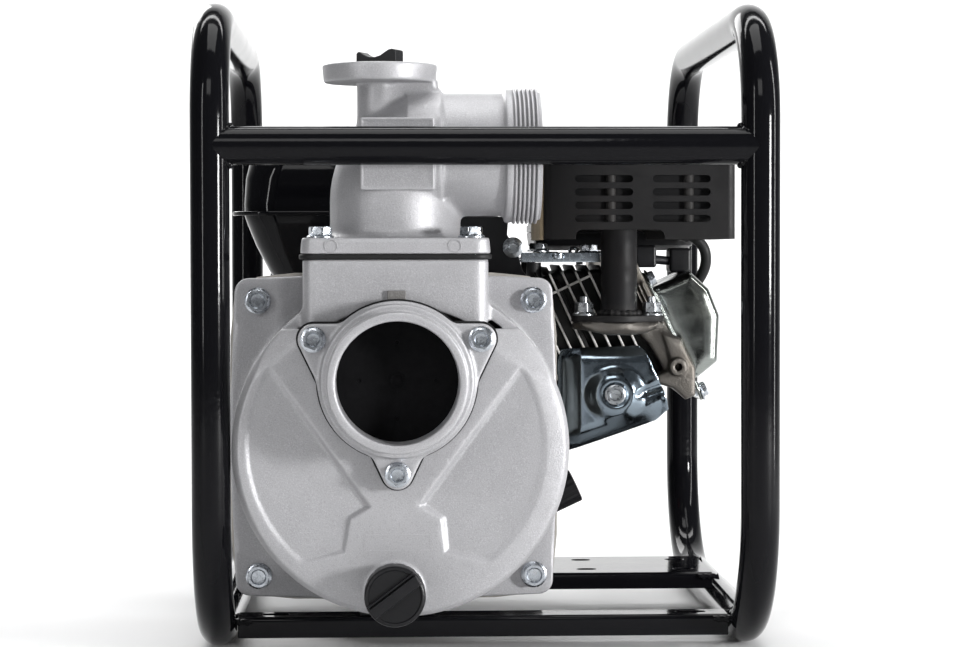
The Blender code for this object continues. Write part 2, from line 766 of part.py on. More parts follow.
def make_pump_internals():
    volute = turned(
        [
            (0.0800, -0.1165),
            (0.0800, -0.1560),
            (0.0760, -0.1600),
            (0.0300, -0.1600),
            (0.0300, -0.1555),
            (0.0640, -0.1555),
            (0.0640, -0.1165),
        ],
        (AXIS_X, 0.0, AXIS_Z),
        steps=28,
        ring=True,
    )
    window = box((AXIS_X - 0.005, -0.1500, AXIS_Z + 0.0450), (AXIS_X + 0.045, -0.1220, AXIS_Z + 0.1))
    part("volute", cut(volute, window), "cast_iron")

    wheel = turned(
        [
            (0.0, -0.1223),
            (0.0590, -0.1223),
            (0.0590, -0.1260),
            (0.0180, -0.1290),
            (0.0150, -0.1500),
            (0.0, -0.1530),
        ],
        (AXIS_X, 0.0, AXIS_Z),
        steps=28,
    )
    vanes = []
    for k in range(3):
        lead = arc((0.0, 0.030), 0.0300, -80, 20, 7)
        trail = arc((0.0, 0.030), 0.0255, 20, -80, 7)
        vane = prism(lead + trail, -0.1500, -0.1240)
        vane.data.transform(Matrix.Rotation(math.tau * k / 3, 4, "Y"))
        vane.data.transform(Matrix.Translation((AXIS_X, 0.0, AXIS_Z)))
        vanes.append(vane)
    socket = bore((AXIS_X, -0.1420, AXIS_Z), (AXIS_X, -0.1000, AXIS_Z), 0.0083)
    part("impeller", cut(join(wheel, *vanes), socket), "cast_iron", (AXIS_X, -0.13, AXIS_Z))

    seal = turned(
        [(0.0185, -0.1050), (0.0185, -0.1180), (0.0130, -0.1190), (0.0130, -0.1050)],
        (AXIS_X, 0.0, AXIS_Z),
        steps=20,
        ring=True,
    )
    part("mechanical_seal", seal, "machined_steel")

    ring = turned(
        [(0.1062, -0.1160), (0.1062, -0.1182), (0.1038, -0.1182), (0.1038, -0.1160)],
        (CASE_X, 0.0, CASE_Z),
        steps=36,
        ring=True,
    )
    part("housing_seal_ring", ring, "rubber")

    plate = prism(superellipse((FLANGE_X, AXIS_Z), FLANGE_HALF, FLANGE_POWER), -0.1157, -0.1040)
    drum = rod((AXIS_X, -0.1060, AXIS_Z), (AXIS_X, PTO_Y - GAP, AXIS_Z), 0.0800, 0.0720, 40)
    hollow = rod((AXIS_X, -0.0940, AXIS_Z), (AXIS_X, -0.0600, AXIS_Z), 0.0600, segments=24)
    seal_bore = bore((AXIS_X, -0.1200, AXIS_Z), (AXIS_X, -0.1040, AXIS_Z), 0.0188)
    shaft_bore = bore((AXIS_X, -0.1300, AXIS_Z), (AXIS_X, -0.0600, AXIS_Z), 0.0126)
    holes = [rod((x, -0.1300, z), (x, -0.0900, z), 0.0045, segments=8) for x, z in casing_bolt_places()]
    cut(join(plate, drum), hollow, seal_bore, shaft_bore, *holes)
    part("pump_bracket", plate, "cast_aluminium")


def bolt(name, head, direction, grip, thread_r):
    """A flanged hexagon bolt. head is the point under its flange, and direction is the way its shank goes."""
    head, direction = Vector(head), Vector(direction)
    washer = turned(
        [
            (0.0, 0.0015),
            (thread_r + 0.0035, 0.0015),
            (thread_r + 0.0045, 0.0),
            (thread_r, 0.0),
            (thread_r, -grip),
            (0.0, -grip),
        ],
        head - direction * GAP,
        axis=-direction,
        steps=8,
    )
    top = head - direction * (GAP + thread_r * 1.35 + 0.001)
    hexagon = rod(head - direction * (GAP + 0.0008), top, thread_r * 1.75, segments=6)
    part(name, join(washer, hexagon), "zinc_plate")


def make_bolts():
    for i, (x, z) in enumerate(casing_bolt_places(), 1):
        bolt(f"housing_bolt_{i}", (x, FLANGE_FRONT_Y, z), (0, 1, 0), 0.0200, 0.0040)
    for i, (x, z) in enumerate(suction_bolt_places(), 1):
        bolt(f"suction_bolt_{i}", (x, -0.2220, z), (0, 1, 0), 0.0240, 0.0032)
    for i, (x, y) in enumerate(ELBOW_BOLTS[:2], 1):
        bolt(f"elbow_bolt_{i}", (x, y, ELBOW_FLANGE_Z[1]), (0, 0, -1), 0.0240, 0.0040)


# --- Engine: crankcase, cylinder and running gear -------------------------------------------------
def make_crankcase():
    low = (CRANKCASE_X[0], CRANKCASE_Y[0], CRANKCASE_Z[0])
    high = (CRANKCASE_X[1], CRANKCASE_Y[1], CRANKCASE_Z[1])
    block = prism(
        rounded_rect((low[0], low[2]), (high[0], high[2]), 0.016, 3), CRANKCASE_Y[0], CRANKCASE_Y[1]
    )
    feet = [
        box((-0.1460, -0.0220, CRANKCASE_Z[0]), (-0.1100, 0.0760, 0.0470)),
        box((0.0080, -0.0220, CRANKCASE_Z[0]), (0.0470, 0.0760, 0.0470)),
    ]
    posts = [
        rod((0.0400, y, 0.2250), (0.0400, y, CONTROL_Z - GAP), 0.0060, segments=12) for y in (-0.0350, 0.0400)
    ]
    barrel = rod(cylinder_point(0.0600, 0.0), cylinder_point(0.1500, 0.0), 0.0440, segments=24)
    fins = [
        cylinder_block((start, start + 0.0024), (-0.050, 0.054), (-0.0500, 0.0540))
        for start in (0.0830 + 0.0088 * i for i in range(7))
    ]
    deck = cylinder_block((0.1440, 0.1500), (-0.050, 0.054), (-0.0500, 0.0540))
    boss_end = Vector((0.0470, -0.0350, 0.0893))
    boss = rod(boss_end - 0.045 * ALONG, boss_end, 0.0120, segments=14)
    stick_hole = bore(boss_end - 0.060 * ALONG, boss_end + 0.010 * ALONG, 0.0057)
    cavity = prism(
        rounded_rect((low[0] + 0.009, low[2] + 0.010), (high[0] - 0.009, high[2] - 0.010), 0.012, 3),
        CRANKCASE_Y[0] - 0.01,
        CRANKCASE_Y[1] - 0.009,
    )
    cylinder = bore(cylinder_point(0.0400, 0.0), cylinder_point(0.1600, 0.0), BORE_R, 24)
    bearing = bore((AXIS_X, 0.0300, AXIS_Z), (AXIS_X, 0.0600, AXIS_Z), 0.0126)
    holes = [
        rod((x, y, 0.0300), (x, y, 0.0500), 0.0045, segments=8)
        for x in (-0.1330, 0.0340)
        for y in (-0.0102, 0.0652)
    ]
    join(block, barrel, boss, *feet, *fins, deck, *posts)
    cut(block, cavity, cylinder, bearing, stick_hole, *holes)
    part("crankcase", block, "dark_casting")


def make_running_gear():
    cover = prism(superellipse((AXIS_X, 0.1290), 0.0760, 5, 40), PTO_Y, CRANKCASE_Y[0] - GAP)
    opening = bore((AXIS_X, -0.0800, AXIS_Z), (AXIS_X, -0.0400, AXIS_Z), 0.0126)
    part("crankcase_side_cover", cut(cover, opening), "cast_aluminium")

    shaft = turned(
        [
            (0.0, 0.1360),
            (0.0070, 0.1360),
            (0.0070, 0.1000),
            (0.0100, 0.0620),
            (0.0122, 0.0560),
            (0.0122, -0.1000),
            (0.0100, -0.1020),
            (0.0080, -0.1210),
            (0.0080, -0.1400),
            (0.0, -0.1400),
        ],
        (AXIS_X, 0.0, AXIS_Z),
        steps=16,
    )
    webs = []
    for y in ((-0.0240, -0.0120), (0.0180, 0.0300)):
        counterweight = circle((AXIS_X - 0.0140, AXIS_Z), 0.0260, 16)
        webs.append(prism(hull(counterweight + circle((AXIS_X + 0.0275, AXIS_Z), 0.0150, 12)), *y))
    gap_between = box((AXIS_X - 0.03, -0.0120, AXIS_Z - 0.03), (AXIS_X + 0.03, 0.0180, AXIS_Z + 0.03))
    pin = rod((AXIS_X + 0.0275, -0.0150, AXIS_Z), (AXIS_X + 0.0275, 0.0210, AXIS_Z), 0.0110, segments=14)
    join(cut(shaft, gap_between), *webs, pin)
    part("crankshaft", shaft, "machined_steel", (AXIS_X, 0.0, AXIS_Z))

    crown = cylinder_point(0.1320, 0.0)
    skirt = cylinder_point(0.0900, 0.0)
    middle = cylinder_point(0.1050, 0.0)
    piston = rod(skirt, crown, BORE_R - 0.0005, segments=24)
    hollow = rod(cylinder_point(0.0800, 0.0), cylinder_point(0.1240, 0.0), BORE_R - 0.0050, segments=16)
    pin_hole = rod((middle.x, -0.0500, middle.z), (middle.x, 0.0500, middle.z), 0.0085, segments=12)
    part("piston", cut(piston, hollow, pin_hole), "cast_aluminium", middle)

    head = cylinder_block((0.1503, 0.2035), (-0.0560, 0.0440), (-0.0500, 0.0520))
    grooves = []
    for k in range(4):
        start = 0.1545 + 0.0080 * k
        ring = cylinder_block((start, start + 0.0050), (-0.08, 0.07), (-0.08, 0.08))
        core = cylinder_block((start - 0.001, start + 0.006), (-0.0400, 0.0300), (-0.0400, 0.0400))
        grooves.append(cut(ring, core))
    port = prism(
        [(0.0640, PORT_TOP_Z), (0.0640, 0.2150), (0.0760, 0.2040), (0.0900, 0.2012)]
        + [(0.1050, 0.2012), (0.1200, 0.2050), (0.1280, 0.2150), (0.1280, PORT_TOP_Z)],
        -0.0900,
        -0.0505,
    )
    port_root = box((0.0850, -0.0600, 0.2020), (0.1200, -0.0400, 0.2200))
    port_bore = rod((MUFFLER_X, MUFFLER_Y, 0.2100), (MUFFLER_X, MUFFLER_Y, 0.2400), 0.0105, segments=14)
    port_way = rod((0.1000, MUFFLER_Y, 0.2110), (0.1000, -0.0200, 0.2110), 0.0070, segments=12)
    chamber = rod(cylinder_point(0.1400, 0.0), cylinder_point(0.1600, 0.0), 0.0300, 0.0200, 24)
    rocker_room = cylinder_block((0.1900, 0.2100), (-0.0480, 0.0360), (-0.0400, 0.0420))
    intake = rod((0.1080, 0.0200, 0.2250), (0.1080, 0.0600, 0.2250), 0.0100, segments=14)
    cut(head, *grooves)
    join(head, port_root, port)
    cut(head, port_bore, port_way, chamber, rocker_room, intake)
    part("cylinder_head", head, "cast_aluminium")


def rocker_ring(along, across, y_half, chamfer):
    """One section of the pressed rocker cover, an eight-sided ring square to the cylinder axis."""
    low, high = across
    outline = [
        (low + chamfer, -y_half),
        (high - chamfer, -y_half),
        (high, -y_half + chamfer),
        (high, y_half - chamfer),
        (high - chamfer, y_half),
        (low + chamfer, y_half),
        (low, y_half - chamfer),
        (low, -y_half + chamfer),
    ]
    return [tuple(cylinder_point(along, a, BORE_Y + b)) for a, b in outline]


def make_rocker_cover():
    shell = loft(
        [
            rocker_ring(0.2038, (-0.0720, 0.0400), 0.0480, 0.012),
            rocker_ring(0.2060, (-0.0720, 0.0400), 0.0480, 0.012),
            rocker_ring(0.2062, (-0.0560, 0.0320), 0.0400, 0.010),
            rocker_ring(0.2270, (-0.0520, 0.0270), 0.0370, 0.010),
            rocker_ring(0.2370, (-0.0420, 0.0130), 0.0280, 0.008),
        ]
    )
    room = loft(
        [
            rocker_ring(0.2000, (-0.0545, 0.0305), 0.0385, 0.010),
            rocker_ring(0.2062, (-0.0545, 0.0305), 0.0385, 0.010),
            rocker_ring(0.2265, (-0.0500, 0.0250), 0.0352, 0.010),
            rocker_ring(0.2352, (-0.0410, 0.0120), 0.0270, 0.008),
        ]
    )
    part("rocker_cover", cut(shell, room), "polished_steel")


def make_exhaust():
    low, high = (0.0520, -0.0880, 0.2830), (0.1680, 0.0290, 0.3420)
    body = prism(
        rounded_rect((low[0], low[2]), (high[0], high[2]), 0.018, 4), low[1], high[1]
    )
    room = prism(
        rounded_rect((low[0] + 0.0015, low[2] + 0.0015), (high[0] - 0.0015, high[2] - 0.0015), 0.0165, 4),
        low[1] + 0.0015,
        high[1] - 0.0015,
    )
    flange = prism(
        hull(
            circle((MUFFLER_X - STUD_REACH, MUFFLER_Y), 0.0100, 12)
            + circle((MUFFLER_X + STUD_REACH, MUFFLER_Y), 0.0100, 12)
            + circle((MUFFLER_X, MUFFLER_Y), 0.0175, 16)
        ),
        PORT_TOP_Z + GAP,
        PORT_TOP_Z + 0.0045,
        "XY",
    )
    pipe = rod((MUFFLER_X, MUFFLER_Y, 0.2240), (MUFFLER_X, MUFFLER_Y, 0.2880), 0.0128, segments=16)
    way = rod((MUFFLER_X, MUFFLER_Y, 0.2150), (MUFFLER_X, MUFFLER_Y, 0.2920), 0.0108, segments=16)
    tail = rod((0.1500, 0.0200, 0.3150), (0.1500, 0.0330, 0.3150), 0.0070, segments=12)
    tail_bore = rod((0.1500, 0.0100, 0.3150), (0.1500, 0.0400, 0.3150), 0.0055, segments=12)
    join(body, flange, pipe, tail)
    cut(body, room, way, tail_bore)
    part("muffler", body, "muffler_paint")

    cover = prism(
        rounded_rect((COVER_X[0], COVER_Z[0]), (COVER_X[1], COVER_Z[1]), 0.004, 2), COVER_Y[0], COVER_Y[1]
    )
    wall = 0.0015
    inside = box(
        (COVER_X[0] + wall, COVER_Y[0] + wall, COVER_Z[0] - 0.01),
        (COVER_X[1] - wall, COVER_Y[1] + 0.01, COVER_Z[1] - wall),
    )
    slots = []
    for x in (0.0850, 0.1385):
        for z in (0.3155, 0.3064, 0.2972, 0.2882):
            slots.append(prism(stadium((x, z), 0.0400, 0.0050, 3), COVER_Y[0] - 0.005, COVER_Y[0] + 0.005))
    notch = prism(
        rounded_rect((0.0660, 0.2600), (0.1265, 0.2802), 0.0050, 2), COVER_Y[0] - 0.005, COVER_Y[0] + 0.005
    )
    part("muffler_cover", cut(cover, inside, notch, *slots), "muffler_paint")


def make_lower_shield():
    """A folded zinc-plated sheet in front of the lower fins."""
    outline = [
        (0.0480, 0.2000),
        (0.1020, 0.2005),
        (0.1120, 0.1955),
        (0.1290, 0.1650),
        (0.1240, 0.1480),
        (0.0700, 0.1230),
        (0.0400, 0.1180),
    ]
    sheet = prism(outline, -0.0620, -0.0605)
    lip = [(0.1240, 0.1480), (0.0700, 0.1230), (0.0400, 0.1180), (0.0400, 0.1165), (0.0705, 0.1215)]
    part("lower_shield", join(sheet, prism(lip + [(0.1246, 0.1466)], -0.0619, -0.0450)), "zinc_plate")


# --- Engine: cooling, starting, fuel and air ------------------------------------------------------
def fan_outline(inset):
    """The fan cover: a round cover with an air duct towards the cylinder."""
    duct = [
        (point.x, point.z)
        for point in (
            cylinder_point(0.1450 - inset, -0.0480 + inset),
            cylinder_point(0.1450 - inset, 0.0520 - inset),
        )
    ]
    return hull(circle((AXIS_X, AXIS_Z), FAN_R - inset, 40) + duct)


def make_cooling():
    wall = 0.0020
    cover = prism(fan_outline(0.0), FAN_Y[0] + 0.0010, FAN_Y[1])
    inside = prism(fan_outline(wall), FAN_Y[0] - 0.01, FAN_Y[1] - wall)
    eye = rod((AXIS_X, 0.1200, AXIS_Z), (AXIS_X, 0.1500, AXIS_Z), 0.0680, segments=28)
    part("fan_cover", cut(cover, inside, eye), "tank_paint")

    wheel = turned(
        [
            (0.0, 0.1060),
            (0.0200, 0.1060),
            (0.0240, 0.0900),
            (0.0780, 0.0860),
            (0.0820, 0.0840),
            (0.0820, 0.0600),
            (0.0180, 0.0600),
            (0.0, 0.0600),
        ],
        (AXIS_X, 0.0, AXIS_Z),
        steps=28,
    )
    blades = []
    for k in range(8):
        blade = box((0.0300, 0.0840, -0.0015), (0.0760, 0.1050, 0.0015))
        blade.data.transform(Matrix.Rotation(math.tau * k / 8, 4, "Y"))
        blade.data.transform(Matrix.Translation((AXIS_X, 0.0, AXIS_Z)))
        blades.append(blade)
    shaft_hole = bore((AXIS_X, 0.0500, AXIS_Z), (AXIS_X, 0.1200, AXIS_Z), 0.0126)
    part("flywheel", cut(join(wheel, *blades), shaft_hole), "cast_iron", (AXIS_X, 0.08, AXIS_Z))


def make_starter():
    outer = [
        (0.0, 0.1850),
        (0.0380, 0.1850),
        (0.0680, 0.1780),
        (0.0760, 0.1700),
        (0.0780, 0.1403),
        (0.0, 0.1403),
    ]
    inner = [
        (0.0, 0.1832),
        (0.0370, 0.1832),
        (0.0665, 0.1765),
        (0.0745, 0.1690),
        (0.0765, 0.1300),
        (0.0, 0.1300),
    ]
    centre = (AXIS_X, 0.0, AXIS_Z)
    house = turned(outer, centre, steps=28)
    room = turned(inner, centre, steps=28)
    guide = box((-0.1320, 0.1460, ROPE_Z - 0.0140), (-0.0900, 0.1620, ROPE_Z + 0.0100))
    rope_way = bore((-0.1400, ROPE_Y, ROPE_Z), (-0.0850, ROPE_Y, ROPE_Z), 0.0035, 12)
    post = rod((AXIS_X, 0.1640, AXIS_Z), (AXIS_X, 0.1845, AXIS_Z), 0.0080, segments=12)
    vents = []
    for k in range(10):
        vent = box((0.0440, 0.1600, -0.0030), (0.0620, 0.2000, 0.0030))
        vent.data.transform(Matrix.Rotation(math.tau * k / 10, 4, "Y"))
        vent.data.transform(Matrix.Translation(centre))
        vents.append(vent)
    join(house, guide)
    cut(house, room)
    join(house, post)
    cut(house, rope_way, *vents)
    part("recoil_housing", house, "tank_paint")

    reel = turned(
        [
            (0.0470, 0.1620),
            (0.0470, 0.1600),
            (REEL_R, 0.1580),
            (REEL_R, 0.1500),
            (0.0470, 0.1480),
            (0.0470, 0.1460),
            (0.0100, 0.1460),
            (0.0100, 0.1620),
        ],
        centre,
        steps=24,
        ring=True,
    )
    part("recoil_reel", reel, "black_plastic", (AXIS_X, 0.154, AXIS_Z))

    grip = swept(
        [(-0.1480, ROPE_Y, ROPE_Z + offset) for offset in (-0.045, -0.030, 0.0, 0.030, 0.045)], 0.0085
    )
    nose = rod((-0.1500, ROPE_Y, ROPE_Z), (-0.1335, ROPE_Y, ROPE_Z), 0.0085, 0.0055, 16)
    knot_hole = bore((-0.1440, ROPE_Y, ROPE_Z), (-0.1300, ROPE_Y, ROPE_Z), 0.0026, 10)
    part("starter_handle", cut(join(grip, nose), knot_hole), "black_plastic", (-0.148, ROPE_Y, ROPE_Z))
    rope = rod((-0.1435, ROPE_Y, ROPE_Z), (-0.1000, ROPE_Y, ROPE_Z), ROPE_R, segments=10)
    part("starter_rope", rope, "rope")


def tank_ring(z, low, high, radius):
    return [(x, y, z) for x, y in rounded_rect(low, high, radius, 3)]


def make_fuel_tank():
    lower_foot = ((-0.1480, -0.0180), (0.0050, 0.1160))
    waist = ((-0.1660, -0.0280), (0.0160, 0.1260))
    shoulder = ((-0.1620, -0.0250), (0.0120, 0.1230))
    top = ((-0.1420, -0.0080), (-0.0100, 0.1060))
    outer = loft(
        [
            tank_ring(0.2480, *lower_foot, 0.020),
            tank_ring(0.2900, *waist, 0.024),
            tank_ring(0.3000, *waist, 0.024),
            tank_ring(0.3320, *shoulder, 0.028),
            tank_ring(TANK_TOP_Z, *top, 0.030),
        ]
    )
    seam = prism(rounded_rect((-0.1745, -0.0360), (0.0240, 0.1340), 0.028, 3), 0.2915, 0.2945, "XY")
    wall = 0.0012
    inset = Vector((wall, wall))

    def shrunk(corners):
        return tuple(Vector(corners[0]) + inset), tuple(Vector(corners[1]) - inset)

    room = loft(
        [
            tank_ring(0.2480 + wall, *shrunk(lower_foot), 0.019),
            tank_ring(0.2900, *shrunk(waist), 0.023),
            tank_ring(0.3000, *shrunk(waist), 0.023),
            tank_ring(0.3315, *shrunk(shoulder), 0.027),
            tank_ring(TANK_TOP_Z - wall, *shrunk(top), 0.029),
        ]
    )
    neck = rod((FUEL_CAP_X, FUEL_CAP_Y, 0.3470), (FUEL_CAP_X, FUEL_CAP_Y, 0.3570), 0.0220, segments=16)
    mouth = bore((FUEL_CAP_X, FUEL_CAP_Y, 0.3400), (FUEL_CAP_X, FUEL_CAP_Y, 0.3600), 0.0192)
    join(outer, seam, neck)
    cut(outer, room, mouth)
    part("fuel_tank", outer, "tank_paint")

    seal = turned(
        [(0.0225, 0.3590), (0.0225, 0.3573), (0.0190, 0.3573), (0.0190, 0.3590)],
        (FUEL_CAP_X, FUEL_CAP_Y, 0.0),
        axis="Z",
        steps=16,
        ring=True,
    )
    part("fuel_cap_seal", seal, "rubber", (FUEL_CAP_X, FUEL_CAP_Y, 0.3573))
    cap = turned(
        [
            (0.0, 0.3700),
            (0.0270, 0.3700),
            (0.0290, 0.3680),
            (0.0290, 0.3515),
            (0.0235, 0.3515),
            (0.0235, 0.3593),
            (0.0185, 0.3593),
            (0.0185, 0.3540),
            (0.0, 0.3540),
        ],
        (FUEL_CAP_X, FUEL_CAP_Y, 0.0),
        axis="Z",
        steps=24,
    )
    part("fuel_cap", cap, "black_plastic", (FUEL_CAP_X, FUEL_CAP_Y, 0.3573))


def make_air_and_fuel():
    body = box((0.0880, 0.0600, 0.2080), (0.1280, 0.1100, 0.2420))
    bowl = rod((0.1080, 0.0840, 0.1820), (0.1080, 0.0840, 0.2150), 0.0170, segments=14)
    intake = rod((0.1080, 0.0523, 0.2250), (0.1080, 0.0640, 0.2250), 0.0150, segments=14)
    throat = rod((0.1080, 0.0500, 0.2250), (0.1080, 0.1190, 0.2250), 0.0088, segments=12)
    riser = box((0.0900, 0.1050, 0.2100), (0.1260, 0.1400, 0.2660))
    riser_way = rod((0.1080, 0.1220, 0.2132), (0.1080, 0.1220, 0.2800), 0.0103, segments=14)
    join(body, bowl, intake, riser)
    cut(body, throat, riser_way)
    part("carburetor", body, "cast_aluminium")

    tray = prism(rounded_rect((0.0450, 0.0520), (0.1660, 0.1650), 0.014, 3), 0.2663, 0.2800, "XY")
    hole = rod((0.1080, 0.1220, 0.2500), (0.1080, 0.1220, 0.2900), 0.0110, segments=14)
    tray_room = prism(rounded_rect((0.0480, 0.0550), (0.1630, 0.1620), 0.012, 3), 0.2700, 0.2900, "XY")
    part("air_cleaner_base", cut(tray, tray_room, hole), "black_plastic")

    def lid(z_low, z_high, inset):
        return loft(
            [
                tank_ring(z_low, (0.0450 + inset, 0.0520 + inset), (0.1660 - inset, 0.1650 - inset), 0.013),
                tank_ring(z_high, (0.0500 + inset, 0.0570 + inset), (0.1610 - inset, 0.1600 - inset), 0.016),
                tank_ring(
                    z_high + 0.006, (0.0560 + inset, 0.0630 + inset), (0.1550 - inset, 0.1540 - inset), 0.016
                ),
            ]
        )

    cover = lid(0.2803, 0.3420, 0.0)
    room = lid(0.2700, 0.3400, 0.0020)
    part("air_cleaner_cover", cut(cover, room), "black_plastic")

    knob = turned(
        [(0.0, 0.3580), (0.0110, 0.3570), (0.0130, 0.3485), (0.0, 0.3485)],
        (0.1055, 0.1085, 0.0),
        axis="Z",
        steps=12,
    )
    part("air_cleaner_knob", knob, "black_plastic", (0.1055, 0.1085, 0.3485))


def lever(name, pivot, axis, arm_end, finish, thickness=0.003, width=0.010):
    """A flat lever with a pivot boss at one end and a finger pad at the other, turning about X or Z."""
    pivot, arm_end = Vector(pivot), Vector(arm_end)
    planes = {"X": ("YZ", 1, 2, 0), "Z": ("XY", 0, 1, 2), "Y": ("XZ", 0, 2, 1)}
    plane, first, second, third = planes[axis]
    start = (pivot[first], pivot[second])
    end = (arm_end[first], arm_end[second])
    outline = hull(circle(start, width / 2 + 0.002, 14) + circle(end, width / 2, 12))
    arm = prism(outline, pivot[third], pivot[third] + thickness, plane)
    part(name, arm, finish, pivot)


def make_controls():
    plate = prism(
        rounded_rect((0.0290, -0.0480), (0.0870, 0.0500), 0.006, 2), CONTROL_Z, CONTROL_Z + 0.0020, "XY"
    )
    part("control_plate", plate, "zinc_plate")
    lever_z = CONTROL_Z + 0.0020 + GAP
    lever("throttle_lever", (0.0560, 0.0150, lever_z), "Z", (0.0560, -0.0520, lever_z), "zinc_plate")
    lever("choke_lever", (0.1283, 0.0900, 0.2350), "X", (0.1283, 0.1180, 0.2350), "black_plastic")
    lever("fuel_valve_lever", (0.1283, 0.0850, 0.2150), "X", (0.1283, 0.1130, 0.2150), "black_plastic")

    knob = turned(
        [(0.0, 0.1520), (0.0110, 0.1520), (0.0120, 0.1500), (0.0120, 0.1403), (0.0, 0.1403)],
        (0.0500, 0.0, 0.2030),
        steps=14,
    )
    bar = box((0.0475, 0.1510, 0.1930), (0.0525, 0.1580, 0.2130))
    part("engine_switch_knob", join(knob, bar), "red_plastic", (0.05, 0.1403, 0.203))


def make_dipstick():
    base = Vector((0.0470, -0.0350, 0.0893))
    seal = turned(
        [(0.0100, 0.0023), (0.0100, GAP), (0.0062, GAP), (0.0062, 0.0023)],
        base,
        axis=ALONG,
        steps=14,
        ring=True,
    )
    part("dipstick_seal", seal, "rubber", base)
    stick = turned(
        [
            (0.0, 0.0250),
            (0.0110, 0.0250),
            (0.0120, 0.0240),
            (0.0120, 0.0026),
            (0.0053, 0.0026),
            (0.0053, -0.0150),
            (0.0018, -0.0170),
            (0.0018, -0.0700),
            (0.0, -0.0700),
        ],
        base,
        axis=ALONG,
        steps=14,
    )
    part("dipstick", stick, "black_plastic", base)


def make_spark_lead():
    points = [
        (0.1600, 0.0570, 0.2330),
        (0.1680, 0.0530, 0.2440),
        (0.1725, 0.0480, 0.2550),
        (0.1715, 0.0445, 0.2665),
        (0.1650, 0.0437, 0.2745),
        (0.1560, 0.0437, 0.2790),
    ]
    part("spark_plug_lead", swept(points, 0.0040, sides=3), "rubber")


make_frame()
make_housing()
make_suction_flange()
make_check_valve()
make_elbow()
make_filler_cap()
make_drain_plug()
make_pump_internals()
make_bolts()
make_crankcase()
make_running_gear()
make_rocker_cover()
make_exhaust()
make_lower_shield()
make_cooling()
make_starter()
make_fuel_tank()
make_air_and_fuel()
make_controls()
make_dipstick()
make_spark_lead()
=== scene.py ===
"""The looks of a gas engine trash pump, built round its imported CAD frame.

Metres, +Z up, with the suction port towards -Y.
"""

import json
import math
import random

import bmesh
import bpy
import numpy as np
import openvdb
from mathutils import Matrix, Vector


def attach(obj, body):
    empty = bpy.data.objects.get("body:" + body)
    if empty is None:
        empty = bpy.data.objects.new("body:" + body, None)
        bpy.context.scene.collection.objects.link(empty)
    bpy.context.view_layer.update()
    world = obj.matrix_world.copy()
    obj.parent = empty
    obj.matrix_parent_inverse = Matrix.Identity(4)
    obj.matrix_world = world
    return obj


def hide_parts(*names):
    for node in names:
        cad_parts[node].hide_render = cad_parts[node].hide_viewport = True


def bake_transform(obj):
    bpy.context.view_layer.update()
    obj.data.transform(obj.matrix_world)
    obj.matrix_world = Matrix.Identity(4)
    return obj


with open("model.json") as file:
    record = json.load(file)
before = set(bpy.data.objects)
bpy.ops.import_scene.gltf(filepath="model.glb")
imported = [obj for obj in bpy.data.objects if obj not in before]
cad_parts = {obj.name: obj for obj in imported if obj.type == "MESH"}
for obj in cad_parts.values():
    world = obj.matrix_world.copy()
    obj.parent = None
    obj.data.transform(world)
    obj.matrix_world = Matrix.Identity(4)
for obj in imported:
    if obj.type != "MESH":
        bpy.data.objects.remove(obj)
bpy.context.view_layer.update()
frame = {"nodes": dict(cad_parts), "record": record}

# --- Sizes and places that several makers use -----------------------------------------------------
TUBE_R = 0.0127
HOOP_X = 0.1776
FRONT_Y, REAR_Y = -0.2, 0.242
FRAME_H = 0.431
HOOP_TOP_BEND, HOOP_FOOT_BEND = 0.066, 0.086
BAR_Z = 0.3339
AXIS_X, AXIS_Z = -0.058, 0.141
CASE_X, CASE_Z, CASE_R = -0.0555, 0.139, 0.1088
FACE_X, FACE_Z, FACE_R = -0.0589, 0.141, 0.098
CASE_FRONT_Y = -0.21
FLANGE_X, FLANGE_HALF = -0.0595, 0.1105
CHAMBER_X, CHAMBER_Y = (-0.1185, 0.0015), (-0.203, -0.12)
CHAMBER_TOP_Z = 0.2607
SUCTION_X, SUCTION_Z = -0.0577, 0.1835
SUCTION_FACE_Y = -0.2547
THREAD_R = 0.04445
FLAP_R = 0.0432
ELBOW_X, ELBOW_Y, ELBOW_R = -0.0585, -0.138, 0.0435
OUTLET_Z = 0.3293
FILLER_X = -0.0685
DRAIN_X, DRAIN_Z = -0.0596, 0.0476
CASE_BOLTS = [
    (-0.0582 + sx * 0.0927, 0.1403 + sz * 0.0927) for sx, sz in ((-1, -1), (1, -1), (1, 1), (-1, 1))
]
SUCTION_BOLTS = [
    (SUCTION_X + 0.0597 * math.cos(math.radians(a)), SUCTION_Z + 0.0597 * math.sin(math.radians(a)))
    for a in (26.4, 153.6, 270.0)
]
ELBOW_BOLTS = ((-0.107, -0.193), (-0.0095, -0.193), (-0.107, -0.095), (-0.0095, -0.095))
TILT = math.radians(25.0)
ALONG = Vector((math.cos(TILT), 0.0, math.sin(TILT)))
ACROSS = Vector((-math.sin(TILT), 0.0, math.cos(TILT)))
CRANK = Vector((AXIS_X, 0.0, AXIS_Z))
DIPSTICK_SEAT = Vector((0.047, -0.035, 0.0893))
FOOT_BOLTS = [(x, y) for x in (-0.133, 0.034) for y in (-0.0102, 0.0652)]
PIPE_X, PIPE_Y = 0.096, -0.072
STUD_REACH = 0.0236
SLOT_ROWS = (0.3155, 0.3064, 0.2972, 0.2882)
CLEANER_LOW, CLEANER_HIGH = (0.045, 0.052), (0.166, 0.165)
TANK_NECK = (-0.05, 0.05, 0.0)
ROPE_Y, ROPE_Z = 0.154, 0.206
ROPE_START, ROPE_END = (-0.1, ROPE_Y, ROPE_Z), (-0.1435, ROPE_Y, ROPE_Z)
HANDLE_X = -0.148
FIN_MID_Y, FIN_HALF_Y = 0.002, 0.052
BODY_OF = {node: body for body, nodes in frame["record"]["behaviour"]["bodies"].items() for node in nodes}
